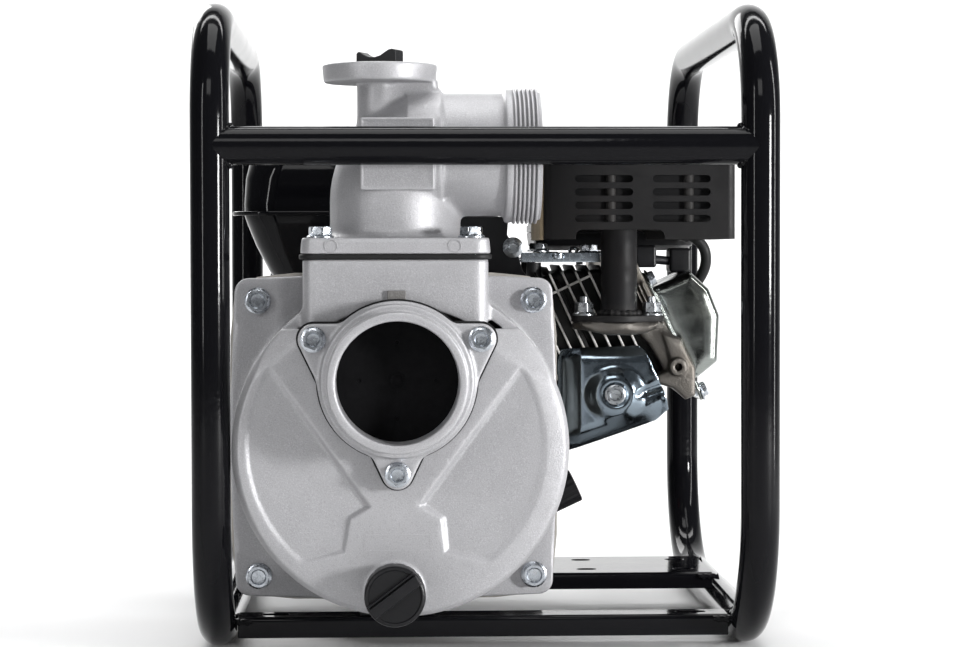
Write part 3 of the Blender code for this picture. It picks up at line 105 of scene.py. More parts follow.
SLOT_OF = {part["node"]: part["material_slot"] for part in frame["record"]["subparts"]}
rng = random.Random(7)


# --- Materials ------------------------------------------------------------------------------------
class Nodes:
    """A Principled material being wired up, with object coordinates and noise at hand."""

    def __init__(self, name, roughness=0.5, metallic=0.0, **constants):
        self.material = bpy.data.materials.new(name)
        self.material.use_nodes = True
        self.tree = self.material.node_tree
        self.shader = self.tree.nodes["Principled BSDF"]
        self.shader.inputs["Roughness"].default_value = roughness
        self.shader.inputs["Metallic"].default_value = metallic
        for key, value in constants.items():
            self.shader.inputs[key.replace("_", " ")].default_value = value
        self.place = self.add("ShaderNodeTexCoord").outputs["Object"]

    def add(self, kind, inputs=None, **settings):
        node = self.tree.nodes.new(kind)
        for key, value in settings.items():
            setattr(node, key, value)
        for key, value in (inputs or {}).items():
            if isinstance(value, bpy.types.NodeSocket):
                self.tree.links.new(value, node.inputs[key])
            else:
                node.inputs[key].default_value = value
        return node

    def noise(self, scale, detail=4.0, stretch=None, roughness=0.55):
        place = self.place
        if stretch is not None:
            place = self.add("ShaderNodeMapping", {"Vector": place, "Scale": stretch}).outputs[0]
        inputs = {"Vector": place, "Scale": scale, "Detail": detail, "Roughness": roughness}
        return self.add("ShaderNodeTexNoise", inputs).outputs["Fac"]

    def ramp(self, factor, stops):
        node = self.add("ShaderNodeValToRGB", {"Fac": factor})
        ramp = node.color_ramp
        while len(ramp.elements) < len(stops):
            ramp.elements.new(0.5)
        for element, (place, colour) in zip(ramp.elements, stops):
            element.position = place
            element.color = (*colour, 1.0)
        return node.outputs["Color"]

    def spread(self, factor, low, high, from_low=0.3, from_high=0.7):
        inputs = {
            "Value": factor, "From Min": from_low, "From Max": from_high, "To Min": low, "To Max": high
        }
        return self.add("ShaderNodeMapRange", inputs).outputs["Result"]

    def mix(self, factor, a, b, blend="MIX"):
        node = self.add("ShaderNodeMix", data_type="RGBA", blend_type=blend)
        for key, value in ((0, factor), (6, a), (7, b)):
            if isinstance(value, bpy.types.NodeSocket):
                self.tree.links.new(value, node.inputs[key])
            else:
                node.inputs[key].default_value = value if key == 0 else (*value, 1.0)
        return node.outputs[2]

    def math(self, operation, a, b=0.0):
        node = self.add("ShaderNodeMath", operation=operation)
        for key, value in ((0, a), (1, b)):
            if isinstance(value, bpy.types.NodeSocket):
                self.tree.links.new(value, node.inputs[key])
            else:
                node.inputs[key].default_value = value
        return node.outputs[0]

    def bump(self, height, strength, distance, normal=None):
        inputs = {"Height": height, "Strength": strength, "Distance": distance}
        if normal is not None:
            inputs["Normal"] = normal
        return self.add("ShaderNodeBump", inputs).outputs["Normal"]

    def edges(self, low=0.5, high=0.56):
        """Near 1 on worn convex edges."""
        point = self.add("ShaderNodeNewGeometry").outputs["Pointiness"]
        return self.spread(point, 0.0, 1.0, low, high)

    def wire(self, **links):
        for key, value in links.items():
            self.tree.links.new(value, self.shader.inputs[key.replace("_", " ")])
        return self.material


def shade(colour, factor):
    return tuple(min(1.0, c * factor) for c in colour)


def cast_paint(name, colour, roughness, metallic, grain=1.0):
    """Paint over a casting: orange-peel and sand grain, small flecks and cleaner edges."""
    n = Nodes(name, roughness, metallic, Coat_Weight=0.12, Coat_Roughness=0.3)
    tone = n.ramp(n.noise(22.0, 3.0), [(0.25, shade(colour, 0.93)), (0.75, shade(colour, 1.05))])
    fleck = n.noise(1500.0, 2.0)
    tone = n.mix(n.spread(fleck, 0.0, 0.6, 0.5, 0.75), tone, shade(colour, 1.55))
    tone = n.mix(n.spread(n.noise(1250.0, 2.0), 0.0, 0.5, 0.54, 0.76), tone, shade(colour, 0.55))
    worn = n.mix(n.math("MULTIPLY", n.edges(), 0.35), tone, shade(colour, 1.35))
    rough = n.spread(n.noise(60.0, 5.0), roughness - 0.06, roughness + 0.08)
    normal = n.bump(n.noise(900.0, 4.0), 0.42 * grain, 0.0005)
    normal = n.bump(n.noise(150.0, 3.0), 0.1 * grain, 0.0012, normal)
    return n.wire(Base_Color=worn, Roughness=rough, Normal=normal)


def gloss_paint(name, colour, roughness=0.1, wave=0.06):
    """Sprayed gloss paint: faint orange peel, dust and fine scuffs."""
    n = Nodes(name, roughness, 0.0, Coat_Weight=0.06, Coat_Roughness=0.04, Specular_IOR_Level=0.11)
    dust = n.spread(n.noise(320.0, 8.0, roughness=0.75), 0.0, 1.0, 0.66, 0.8)
    tone = n.mix(n.math("MULTIPLY", dust, 0.2), colour, (0.16, 0.155, 0.14))
    rough = n.math(
        "ADD", n.spread(n.noise(40.0, 6.0), roughness * 0.7, roughness * 1.5),
        n.math("MULTIPLY", dust, 0.2)
    )
    normal = n.bump(n.noise(210.0, 2.0), wave, 0.001)
    return n.wire(Base_Color=tone, Roughness=rough, Normal=normal)


def heat_paint(name, colour):
    """Thin satin heat paint on pressed steel, browned a little by heat."""
    n = Nodes(name, 0.52, 0.0, Specular_IOR_Level=0.15)
    tone = n.ramp(n.noise(14.0, 5.0), [(0.3, shade(colour, 0.85)), (0.7, shade(colour, 1.2))])
    tone = n.mix(n.spread(n.noise(9.0, 4.0), 0.0, 0.5, 0.52, 0.75), tone, (0.022, 0.017, 0.015))
    tone = n.mix(n.math("MULTIPLY", n.edges(0.52, 0.62), 0.3), tone, (0.09, 0.085, 0.08))
    rough = n.spread(n.noise(90.0, 4.0), 0.42, 0.62)
    return n.wire(Base_Color=tone, Roughness=rough, Normal=n.bump(n.noise(1200.0, 3.0), 0.22, 0.0004))


def bare_casting(name, colour, roughness=0.48, metallic=0.85, grain=1.0):
    """Bare cast aluminium or iron: mottled, grainy, with dark oxide in patches."""
    n = Nodes(name, roughness, metallic)
    tone = n.ramp(
        n.noise(35.0, 6.0), [(0.25, shade(colour, 0.7)), (0.5, colour), (0.78, shade(colour, 1.25))]
    )
    warm = (colour[0] * 0.8, colour[1] * 0.66, colour[2] * 0.5)
    tone = n.mix(n.spread(n.noise(18.0, 5.0), 0.0, 0.55, 0.52, 0.74), tone, warm)
    tone = n.mix(n.math("MULTIPLY", n.edges(), 0.5), tone, shade(colour, 1.5))
    rough = n.spread(n.noise(120.0, 5.0), roughness - 0.1, roughness + 0.14)
    normal = n.bump(n.noise(1100.0, 5.0), 0.45 * grain, 0.0006)
    return n.wire(Base_Color=tone, Roughness=rough, Normal=normal)


def zinc(name, colour=(0.6, 0.66, 0.72), roughness=0.2):
    """Bright zinc plate with a faint blue and straw passivation film and brushed scratches."""
    n = Nodes(name, roughness, 1.0)
    film = n.ramp(
        n.noise(45.0, 3.0),
        [
            (0.25, shade(colour, 0.88)), (0.45, colour), (0.62, shade(colour, 1.06)),
            (0.85, (colour[0] * 1.2, colour[1] * 1.1, colour[2]))
        ]
    )
    streak = n.noise(260.0, 5.0, stretch=(1.0, 8.0, 0.25))
    tone = n.mix(n.spread(streak, 0.0, 0.18, 0.45, 0.75), film, shade(colour, 0.7))
    rough = n.spread(n.noise(300.0, 5.0), roughness * 0.7, roughness * 1.7)
    return n.wire(Base_Color=tone, Roughness=rough, Normal=n.bump(streak, 0.04, 0.0002))


def steel(name, colour, roughness=0.2, brushed=(1.0, 1.0, 14.0)):
    n = Nodes(name, roughness, 1.0)
    grain = n.noise(150.0, 6.0, stretch=brushed)
    tone = n.ramp(grain, [(0.25, shade(colour, 0.82)), (0.75, shade(colour, 1.12))])
    tone = n.mix(
        n.spread(n.noise(16.0, 4.0), 0.0, 0.4, 0.5, 0.8), tone,
        (colour[0], colour[1] * 0.9, colour[2] * 0.72)
    )
    rough = n.spread(n.noise(70.0, 4.0), roughness * 0.75, roughness * 1.5)
    return n.wire(Base_Color=tone, Roughness=rough, Normal=n.bump(grain, 0.05, 0.0003))


def moulded(name, colour, roughness=0.42, grain=0.25, specular=0.3):
    """Moulded plastic or rubber: fine texture, a little dust and bloom."""
    n = Nodes(name, roughness, 0.0, Specular_IOR_Level=specular)
    bloom = n.spread(n.noise(55.0, 5.0), 0.0, 1.0, 0.45, 0.75)
    tone = n.mix(n.math("MULTIPLY", bloom, 0.35), shade(colour, 0.9), shade(colour, 1.9))
    tone = n.mix(n.math("MULTIPLY", n.edges(0.52, 0.62), 0.25), tone, shade(colour, 3.0))
    rough = n.spread(n.noise(240.0, 4.0), roughness - 0.07, roughness + 0.1)
    return n.wire(Base_Color=tone, Roughness=rough, Normal=n.bump(n.noise(1500.0, 3.0), grain, 0.0003))


def fin_paint(name):
    """Black paint on the fins, with the machined rims of the fins left bare."""
    n = Nodes(name, 0.5, 0.5)
    place = n.add("ShaderNodeSeparateXYZ", {"Vector": n.place}).outputs
    rim = n.math("SUBTRACT", n.math("ABSOLUTE", n.math("SUBTRACT", place["Y"], FIN_MID_Y)), FIN_HALF_Y)
    rim = n.math("ADD", rim, n.math("MULTIPLY", n.noise(400.0, 3.0), 0.0004))
    bare = n.spread(rim, 0.0, 1.0, -0.0006, -0.0002)
    dark = n.ramp(n.noise(60.0, 5.0), [(0.3, (0.01, 0.01, 0.01)), (0.7, (0.035, 0.033, 0.031))])
    light = n.ramp(n.noise(200.0, 4.0), [(0.3, (0.42, 0.4, 0.37)), (0.7, (0.72, 0.71, 0.69))])
    return n.wire(Base_Color=n.mix(bare, dark, light), Normal=n.bump(n.noise(900.0, 4.0), 0.3, 0.0005))


LOOKS = {
    "frame_paint": gloss_paint("frame_gloss", (0.004, 0.004, 0.005), 0.09),
    "pump_paint": cast_paint("pump_silver", (0.375, 0.373, 0.386), 0.44, 0.3),
    "cast_aluminium": bare_casting("bare_aluminium", (0.42, 0.4, 0.37)),
    "dark_casting": cast_paint("engine_black", (0.02, 0.02, 0.021), 0.45, 0.2, 1.4),
    "cast_iron": bare_casting("raw_iron", (0.1, 0.095, 0.09), 0.6, 0.7, 1.5),
    "machined_steel": steel("ground_steel", (0.56, 0.56, 0.57), 0.25), "zinc_plate": zinc("zinc"),
    "polished_steel": steel("cover_steel", (0.3, 0.32, 0.305), 0.18),
    "muffler_paint": heat_paint("heat_paint", (0.006, 0.006, 0.0068)),
    "tank_paint": gloss_paint("tank_gloss", (0.004, 0.004, 0.005), 0.07, 0.03),
    "black_plastic": moulded("black_moulding", (0.006, 0.006, 0.007), 0.36),
    "rubber": moulded("black_rubber", (0.006, 0.006, 0.0065), 0.55, 0.3),
    "red_plastic": moulded("red_moulding", (0.4, 0.015, 0.012), 0.33, 0.12),
    "rope": moulded("braided_cord", (0.06, 0.06, 0.065), 0.8, 0.8)
}
BOLT_ZINC = zinc("bolt_zinc", (0.5, 0.53, 0.57), 0.22)
SHIELD_ZINC = zinc("shield_zinc", (0.22, 0.265, 0.305), 0.12)
GREY_ZINC = zinc("grey_zinc", (0.4, 0.42, 0.44), 0.26)
FLAP_LOOK = moulded("flap_rubber", (0.0025, 0.0025, 0.003), 0.7, 0.3, 0.1)
GASKET_LOOK = moulded("heat_gasket", (0.34, 0.27, 0.18), 0.8, 0.6)
FIN_LOOK = fin_paint("fin_rims")
GATE_LOOK = cast_paint("cut_gate", (0.16, 0.155, 0.15), 0.55, 0.5, 2.5)
EXHAUST_LOOK = bare_casting("exhaust_casting", (0.115, 0.107, 0.097), 0.38, 0.8, 1.4)
for node_name, node in frame["nodes"].items():
    node.data.materials.clear()
    node.data.materials.append(LOOKS[SLOT_OF[node_name]])


# --- Mesh helpers ---------------------------------------------------------------------------------
AXES = {"X": (1, 0, 0), "Y": (0, 1, 0), "Z": (0, 0, 1)}


def as_object(bm, name="shape"):
    bmesh.ops.recalc_face_normals(bm, faces=bm.faces)
    mesh = bpy.data.meshes.new(name)
    bm.to_mesh(mesh)
    bm.free()
    obj = bpy.data.objects.new(name, mesh)
    bpy.context.scene.collection.objects.link(obj)
    return obj


def grid_faces(bm, rows, closed=True, wrap=True):
    """Quads between rows of vertices. closed joins each row's ends, and wrap joins the last row to row 0."""
    count = len(rows[0])
    pairs = list(zip(rows, rows[1:])) + ([(rows[-1], rows[0])] if wrap else [])
    for lower, upper in pairs:
        for i in range(count if closed else count - 1):
            j = (i + 1) % count
            corners = []
            for vertex in (lower[i], lower[j], upper[j], upper[i]):
                if vertex not in corners:
                    corners.append(vertex)
            if len(corners) > 2:
                bm.faces.new(corners)


def axis_frame(axis):
    """A unit vector along the axis, given as a letter or a vector, and two more square to it."""
    axis = Vector(AXES[axis] if isinstance(axis, str) else axis).normalized()
    side = axis.orthogonal().normalized()
    return axis, side, axis.cross(side)


def turned(profile, centre, axis="Y", steps=72, ring=False, wobble=None):
    """A turned solid: (radius, height) pairs, heights along the axis. A ring's profile closes on itself."""
    axis, side, other = axis_frame(axis)
    centre = Vector(centre)
    bm = bmesh.new()
    rows = []
    for radius, height in profile:
        base = centre + axis * height
        if radius < 1e-7:
            rows.append([bm.verts.new(base)] * steps)
            continue
        row = []
        for i in range(steps):
            a = math.tau * i / steps
            r = radius if wobble is None else radius + wobble(a, height)
            row.append(bm.verts.new(base + side * (r * math.cos(a)) + other * (r * math.sin(a))))
        rows.append(row)
    grid_faces(bm, rows, wrap=ring)
    if not ring:
        for row in (rows[0], rows[-1]):
            if row[0] is not row[1]:
                bm.faces.new(row)
    return as_object(bm)


def prism(outline, start, end, plane="XZ"):
    places = {
        "XZ": lambda a, b, c: (a, c, b), "XY": lambda a, b, c: (a, b, c), "YZ": lambda a, b, c: (c, a, b)
    }
    place = places[plane]
    bm = bmesh.new()
    low = [bm.verts.new(place(a, b, start)) for a, b in outline]
    high = [bm.verts.new(place(a, b, end)) for a, b in outline]
    grid_faces(bm, [low, high], wrap=False)
    bm.faces.new(low)
    bm.faces.new(high)
    return as_object(bm)


def box(low, high):
    (x0, y0, z0), (x1, y1, z1) = low, high
    return prism([(x0, y0), (x1, y0), (x1, y1), (x0, y1)], z0, z1, "XY")


def rod(start, end, radius, end_radius=None, steps=48):
    start, end = Vector(start), Vector(end)
    profile = [(radius, 0.0), (radius if end_radius is None else end_radius, (end - start).length)]
    return turned(profile, start, end - start, steps)


def loft(rings, caps=True):
    bm = bmesh.new()
    rows = [[bm.verts.new(point) for point in ring] for ring in rings]
    grid_faces(bm, rows, wrap=False)
    if caps:
        bm.faces.new(rows[0])
        bm.faces.new(rows[-1])
    return as_object(bm)


def tube(points, radius, closed=False, sides=20, name="tube"):
    """A round tube along points. radius is a number, or a function of the share of the way along."""
    points = [Vector(p) for p in points]
    count = len(points)
    bm = bmesh.new()
    rows = []
    normal = None
    for i, point in enumerate(points):
        before = points[i - 1] if (closed or i > 0) else point
        after = points[(i + 1) % count] if (closed or i < count - 1) else point
        way = (after - before).normalized()
        if normal is None:
            normal = way.orthogonal().normalized()
        normal = (normal - way * normal.dot(way)).normalized()
        other = way.cross(normal)
        r = radius(i / max(count - 1, 1)) if callable(radius) else radius
        turns = [math.tau * k / sides for k in range(sides)]
        rows.append(
            [bm.verts.new(point + normal * (r * math.cos(t)) + other * (r * math.sin(t))) for t in turns]
        )
    grid_faces(bm, rows, wrap=closed)
    if not closed:
        bm.faces.new(rows[0])
        bm.faces.new(rows[-1])
    return as_object(bm, name)


def bake_modifiers(obj):
    """Applies an object's modifiers and drops their cutters."""
    bpy.context.view_layer.update()
    helpers = [m.object for m in obj.modifiers if m.type == "BOOLEAN"]
    evaluated = obj.evaluated_get(bpy.context.evaluated_depsgraph_get())
    mesh = bpy.data.meshes.new_from_object(evaluated)
    obj.modifiers.clear()
    obj.data = mesh
    for helper in helpers:
        bpy.data.objects.remove(helper, do_unlink=True)
    return obj


def combine(obj, others, operation):
    for other in others:
        change = obj.modifiers.new(operation.lower(), "BOOLEAN")
        change.operation = operation
        change.object = other
    return bake_modifiers(obj) if others else obj


def join(obj, *others):
    return combine(obj, others, "UNION")


def cut(obj, *others):
    return combine(obj, others, "DIFFERENCE")


def together(*objects):
    """Several closed shapes in one mesh, with no Boolean."""
    bm = bmesh.new()
    for obj in objects:
        obj.data.transform(obj.matrix_world)
        bm.from_mesh(obj.data)
        bpy.data.objects.remove(obj, do_unlink=True)
    return as_object(bm)


def soften(obj, width=0.001, segments=2, angle=35.0):
    """Rounds the edges, and welds first so that Boolean seams bevel cleanly."""
    weld = obj.modifiers.new("weld", "WELD")
    weld.merge_threshold = 1e-6
    bevel = obj.modifiers.new("edges", "BEVEL")
    bevel.width = width
    bevel.segments = segments
    bevel.limit_method = "ANGLE"
    bevel.angle_limit = math.radians(angle)
    return bake_modifiers(obj)


def moved(obj, matrix):
    obj.data.transform(matrix)
    return obj


def piece(name, obj, slot, body="machine", replaces=(), look=None, smooth=38.0):
    """Names a shape, gives it its material and body, and hides the CAD nodes that it stands for."""
    obj.name = name
    obj.data.name = name
    obj.data.materials.clear()
    obj.data.materials.append(look or LOOKS[slot])
    obj.data.shade_smooth()
    if smooth is not None:
        obj.data.set_sharp_from_angle(angle=math.radians(smooth))
        even = obj.modifiers.new("even_normals", "WEIGHTED_NORMAL")
        even.keep_sharp = True
    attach(obj, body)
    if replaces:
        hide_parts(*replaces)
    return obj


def stand_in(node, obj, look=None, smooth=38.0, name=None):
    """A piece that stands for one CAD node and takes its body and slot from the record."""
    return piece(name or "v_" + node, obj, SLOT_OF[node], BODY_OF[node], (node,), look, smooth)


# --- Outlines -------------------------------------------------------------------------------------
def arc(centre, radius, start, end, steps):
    return [
        (
            centre[0] + radius * math.cos(math.radians(start + (end - start) * i / steps)),
            centre[1] + radius * math.sin(math.radians(start + (end - start) * i / steps))
        )
        for i in range(steps + 1)
    ]


def circle(centre, radius, steps=32):
    return arc(centre, radius, 0.0, 360.0, steps)[:-1]


def rounded_rect(low, high, radius, steps=6):
    (a0, b0), (a1, b1) = low, high
    return (
        arc((a1 - radius, b1 - radius), radius, 0, 90, steps)
        + arc((a0 + radius, b1 - radius), radius, 90, 180, steps)
        + arc((a0 + radius, b0 + radius), radius, 180, 270, steps)
        + arc((a1 - radius, b0 + radius), radius, 270, 360, steps)
    )


def stadium(centre, length, width, steps=8):
    reach = length / 2 - width / 2
    right = arc((centre[0] + reach, centre[1]), width / 2, -90, 90, steps)
    return right + arc((centre[0] - reach, centre[1]), width / 2, 90, 270, steps)


def hull(points):
    ordered = sorted(set(points))

    def chain(items):
        kept = []
        for p in items:
            while len(kept) > 1:
                (ax, ay), (bx, by) = kept[-2], kept[-1]
                if (bx - ax) * (p[1] - ay) - (by - ay) * (p[0] - ax) > 1e-12:
                    break
                kept.pop()
            kept.append(p)
        return kept[:-1]

    return chain(ordered) + chain(reversed(ordered))


def cylinder_point(along, across, y=0.003):
    point = CRANK + along * ALONG + across * ACROSS
    return Vector((point.x, y, point.z))


TO_CYLINDER = Matrix.Translation(CRANK) @ Matrix.Rotation(-TILT, 4, "Y")


# --- Castings: distance fields turned into meshes ---------------------------------------------------
class Block:
    """Grid coordinates for a distance field over a box. Arrays broadcast, so flat fields stay cheap."""

    def __init__(self, low, high, step):
        self.low, self.step = np.array(low), step
        counts = np.ceil((np.array(high) - self.low) / step).astype(int) + 1
        self.shape = tuple(counts)
        axes = [(self.low[k] + step * np.arange(counts[k])).astype(np.float32) for k in range(3)]
        self.x = axes[0][:, None, None]
        self.y = axes[1][None, :, None]
        self.z = axes[2][None, None, :]

    def mesh(self, field, adaptivity=0.02):
        band = 4 * self.step
        full = np.clip(np.broadcast_to(field, self.shape), -band, band).astype(np.float32)
        grid = openvdb.FloatGrid(band)
        grid.copyFromArray(np.ascontiguousarray(full))
        points, triangles, quads = grid.convertToPolygons(isovalue=0.0, adaptivity=adaptivity)
        mesh = bpy.data.meshes.new("casting")
        points = points * self.step + self.low
        mesh.from_pydata(points.tolist(), [], triangles.tolist() + quads.tolist())
        obj = bpy.data.objects.new("casting", mesh)
        bpy.context.scene.collection.objects.link(obj)
        bm = bmesh.new()
        bm.from_mesh(mesh)
        bmesh.ops.recalc_face_normals(bm, faces=bm.faces)
        bm.to_mesh(mesh)
        bm.free()
        return obj


def either(a, b, k=0.0):
    """Union of two fields, with a fillet about k wide."""
    if k == 0.0:
        return np.minimum(a, b)
    h = np.clip(0.5 + 0.5 * (b - a) / k, 0.0, 1.0)
    return b * (1 - h) + a * h - k * h * (1 - h)


def both(a, b, k=0.0):
    return -either(-a, -b, k)


def less(a, b, k=0.0):
    return both(a, -b, k)


def slab(value, low, high):
    return np.abs(value - (low + high) / 2) - (high - low) / 2


def round_rect_field(a, b, low, high, radius):
    qa = slab(a, low[0], high[0]) + radius
    qb = slab(b, low[1], high[1]) + radius
    return np.hypot(np.maximum(qa, 0), np.maximum(qb, 0)) + np.minimum(np.maximum(qa, qb), 0) - radius


def polygon_field(a, b, points):
    """Signed distance to a polygon given anticlockwise or clockwise."""
    a, b = np.broadcast_arrays(a, b)
    best = np.full(a.shape, 1e9, np.float32)
    inside = np.zeros(a.shape, bool)
    for (ax, ay), (bx, by) in zip(points, points[1:] + points[:1]):
        ex, ey = bx - ax, by - ay
        wx, wy = a - ax, b - ay
        t = np.clip((wx * ex + wy * ey) / (ex * ex + ey * ey), 0, 1)
        best = np.minimum(best, np.hypot(wx - t * ex, wy - t * ey))
        crosses = ((ay <= b) & (by > b)) | ((by <= b) & (ay > b))
        inside ^= crosses & (wx < ex * (wy / (ey if ey else 1e-12)))
    return np.where(inside, -best, best)


def make_housing():
    g = Block((-0.1735, -0.2185, 0.0285), (0.0545, -0.114, 0.2625), 0.00085)
    x, y, z = g.x, g.y, g.z
    r = np.hypot(x - CASE_X, z - CASE_Z)
    face_r = np.hypot(x - FACE_X, z - FACE_Z)
    # Height of the front face: a flat middle, a bevelled ring, and a shoulder above each lobe.
    ring = CASE_FRONT_Y + (face_r - FACE_R) * 0.22
    rim = -0.2076 + (r - 0.106) * 1.6
    front = both(both(np.float32(CASE_FRONT_Y), ring, 0.0012), rim, 0.0015)
    for (px, pz), (qx, qz) in (
        ((-0.1383, 0.1926), (-0.1224, 0.2061)), ((0.0202, 0.1926), (0.0043, 0.2045))
    ):
        length = math.hypot(qx - px, qz - pz)
        nx, nz = -abs(qz - pz) / length * (1 if px < CASE_X else -1), abs(qx - px) / length
        shoulder = CASE_FRONT_Y + ((x - px) * nx + (z - pz) * nz) * 0.5
        front = both(front, shoulder, 0.0012)
    # Two dished lobes, below the V-shaped creases.
    left = [(-0.1387, 0.1926), (-0.074, 0.1018), (-0.0874, 0.0937), (-0.091, 0.0721), (-0.1189, 0.0649)]
    left += [(-0.14, 0.06), (-0.18, 0.1), (-0.18, 0.17)]
    right = [(0.0207, 0.1916), (-0.0443, 0.1027), (-0.0299, 0.0937), (-0.0278, 0.0721), (0.0015, 0.0649)]
    right += [(0.022, 0.06), (0.062, 0.1), (0.062, 0.17)]
    for outline in (left, right):
        lobe = both(polygon_field(x, z, outline), face_r - (FACE_R - 0.0012), 0.0015)
        depth = np.clip(-lobe / 0.0032, 0, 1)
        fade = np.clip((FACE_R - face_r) / 0.06, 0.0, 1.0)
        front = front + depth * (0.0017 + 0.0024 * fade)
    case = both(both(r - CASE_R, front - y, 0.001), y + 0.1165, 0.001)
    above = both(0.216 - z, y + 0.196)
    case = less(case, above, 0.0008)
    chamber = round_rect_field(x, y, (CHAMBER_X[0], CHAMBER_Y[0]), (CHAMBER_X[1], -0.117), 0.0085)
    chamber = both(both(chamber, z - CHAMBER_TOP_Z, 0.0012), 0.15 - z)
    deck = round_rect_field(x, y, (CHAMBER_X[0], -0.13), (CHAMBER_X[1], -0.085), 0.0085)
    deck = both(deck, slab(z, 0.2522, CHAMBER_TOP_Z), 0.0012)
    # A square flange whose sides bow out a little between small round corners.
    corner = FLANGE_HALF - 0.0035 - 0.0095
    outline = []
    for sx, sz in ((-1, -1), (1, -1), (1, 1), (-1, 1)):
        outline += circle((FLANGE_X + sx * corner, AXIS_Z + sz * corner), 0.0095, 24)
        outline.append((FLANGE_X + sx * FLANGE_HALF, AXIS_Z + sz * 0.01))
        outline.append((FLANGE_X + sx * 0.01, AXIS_Z + sz * FLANGE_HALF))
    flange = both(polygon_field(x, z, hull(outline)), slab(y, -0.1262, -0.116), 0.0014)
    foot = both(
        round_rect_field(x, y, (-0.086, -0.146), (-0.03, -0.118), 0.004), slab(z, 0.03, 0.05), 0.0012
    )
    drain_r = np.hypot(x - DRAIN_X, z - DRAIN_Z)
    drain_boss = both(drain_r - 0.0178, slab(y, -0.216, -0.198), 0.0012)
    solid = either(case, chamber, 0.0035)
    solid = either(solid, deck, 0.002)
    solid = either(solid, flange, 0.0035)
    solid = either(solid, foot, 0.003)
    solid = either(solid, drain_boss, 0.0035)
    cavity = both(both(r - 0.1015, -0.203 - y + np.maximum(r - 0.0905, 0) * 0.7), y + 0.11)
    room = round_rect_field(x, y, (-0.1115, -0.1965), (-0.0055, -0.123), 0.01)
    cavity = either(cavity, both(room, 0.15 - z), 0.003)
    solid = less(solid, cavity, 0.001)
    for bx, bz in SUCTION_BOLTS:
        boss = both(np.hypot(x - bx, z - bz) - 0.0085, slab(y, -0.207, -0.19), 0.001)
        solid = either(solid, boss, 0.002)
    mouth = both(np.hypot(x - SUCTION_X, z - SUCTION_Z) - 0.0475, slab(y, -0.23, -0.185))
    drain = both(drain_r - 0.0121, slab(y, -0.23, -0.19))
    solid = less(less(solid, mouth), drain)
    stand_in("pump_housing", g.mesh(solid), smooth=None)

    # Cast details on the housing: a gate stub, its witness line and a blank framed panel.
    gate = soften(box((-0.064, -0.2058, 0.2335), (-0.052, -0.202, 0.2408)), 0.0009, 2)
    piece("housing_gate", gate, "pump_paint", look=GATE_LOOK)
    lines = [box((-0.0665, -0.2034, 0.2449), (-0.0495, -0.2028, 0.2454))]
    for low, high in (((-0.079, 0.074), (-0.0365, 0.0743)), ((-0.079, 0.084), (-0.0365, 0.0843))):
        lines.append(box((low[0], -0.21025, low[1]), (high[0], -0.2098, high[1])))
    for px in (-0.079, -0.0368):
        lines.append(box((px, -0.21025, 0.074), (px + 0.0003, -0.2098, 0.0843)))
    piece("housing_panel_lines", together(*lines), "pump_paint")
    # Small cast lugs where the round case meets the square flange.
    marks = []
    for a in (118, 133, 47, 38):
        px, pz = CASE_X + 0.1092 * math.cos(math.radians(a)), CASE_Z + 0.1092 * math.sin(math.radians(a))
        marks.append(rod((px, -0.13, pz), (px, -0.1255, pz), 0.0014, steps=12))
    piece("housing_marks", together(*marks), "pump_paint")


def lug_outline(bolt, reach, waist, foot):
    """One lug of the suction flange, from round its bolt in to the round middle. The others are radii."""
    bx, bz = bolt
    side = bx - SUCTION_X
    lug = circle((bx, bz), reach)
    if abs(side) < 0.01:
        return hull(lug + circle((bx, bz + 0.03), waist))
    inward = -math.copysign(0.024, side)
    return hull(lug + circle((bx + inward, bz), reach) + circle((bx + inward * 0.6, bz - 0.028), foot))


def make_suction_flange():
    g = Block((-0.1275, -0.2565, 0.109), (0.012, -0.2085, 0.238), 0.00075)
    x, y, z = g.x, g.y, g.z
    r = np.hypot(x - SUCTION_X, z - SUCTION_Z)
    plate = r - 0.0508
    for bolt in SUCTION_BOLTS:
        plate = either(plate, polygon_field(x, z, lug_outline(bolt, 0.0098, 0.0225, 0.0105)), 0.003)
    plate = both(plate, slab(y, -0.222, CASE_FRONT_Y - 0.0004), 0.0012)
    shoulder = both(r - 0.0488, slab(y, -0.2292, -0.215), 0.0014)
    stub = both(
        both(r - THREAD_R, slab(y, SUCTION_FACE_Y, -0.215)), r * 0.707 - y * 0.707 - 0.2109, 0.0006
    )
    solid = either(either(plate, shoulder, 0.0035), stub, 0.0016)
    bore = np.minimum(both(r - 0.0388, slab(y, -0.27, -0.2)), both(r - 0.0446, slab(y, -0.219, -0.2)))
    chamfer = r + y - (0.0388 - 0.0009 - 0.2547 + 0.0018)
    solid = less(solid, bore, 0.0006)
    solid = less(solid, both(chamfer, r - 0.041), 0.0004)
    stand_in("suction_flange", g.mesh(solid), smooth=None)
    # The thread on the port.
    profile = thread_profile(THREAD_R + 0.0001, -0.2527, -0.232, 8, 0.0013)
    ridges = turned(profile, (SUCTION_X, 0.0, SUCTION_Z), "Y", 96, ring=True)
    piece("suction_thread", ridges, "pump_paint")
    # A black sheet a little wider than the flange, so that a dark line shows round it: partly its gasket,
    # partly painted shade for the gap.
    gasket_shade_outlines = [circle((SUCTION_X, SUCTION_Z), 0.0521, 64)]
    gasket_shade_outlines += [lug_outline(bolt, 0.0112, 0.024, 0.012) for bolt in SUCTION_BOLTS]
    gasket = [prism(outline, -0.2112, -0.2099) for outline in gasket_shade_outlines]
    hole = rod((SUCTION_X, -0.215, SUCTION_Z), (SUCTION_X, -0.205, SUCTION_Z), 0.047)
    sheet = cut(join(*gasket), hole)
    piece("suction_gasket_shade_line", sheet, "rubber")


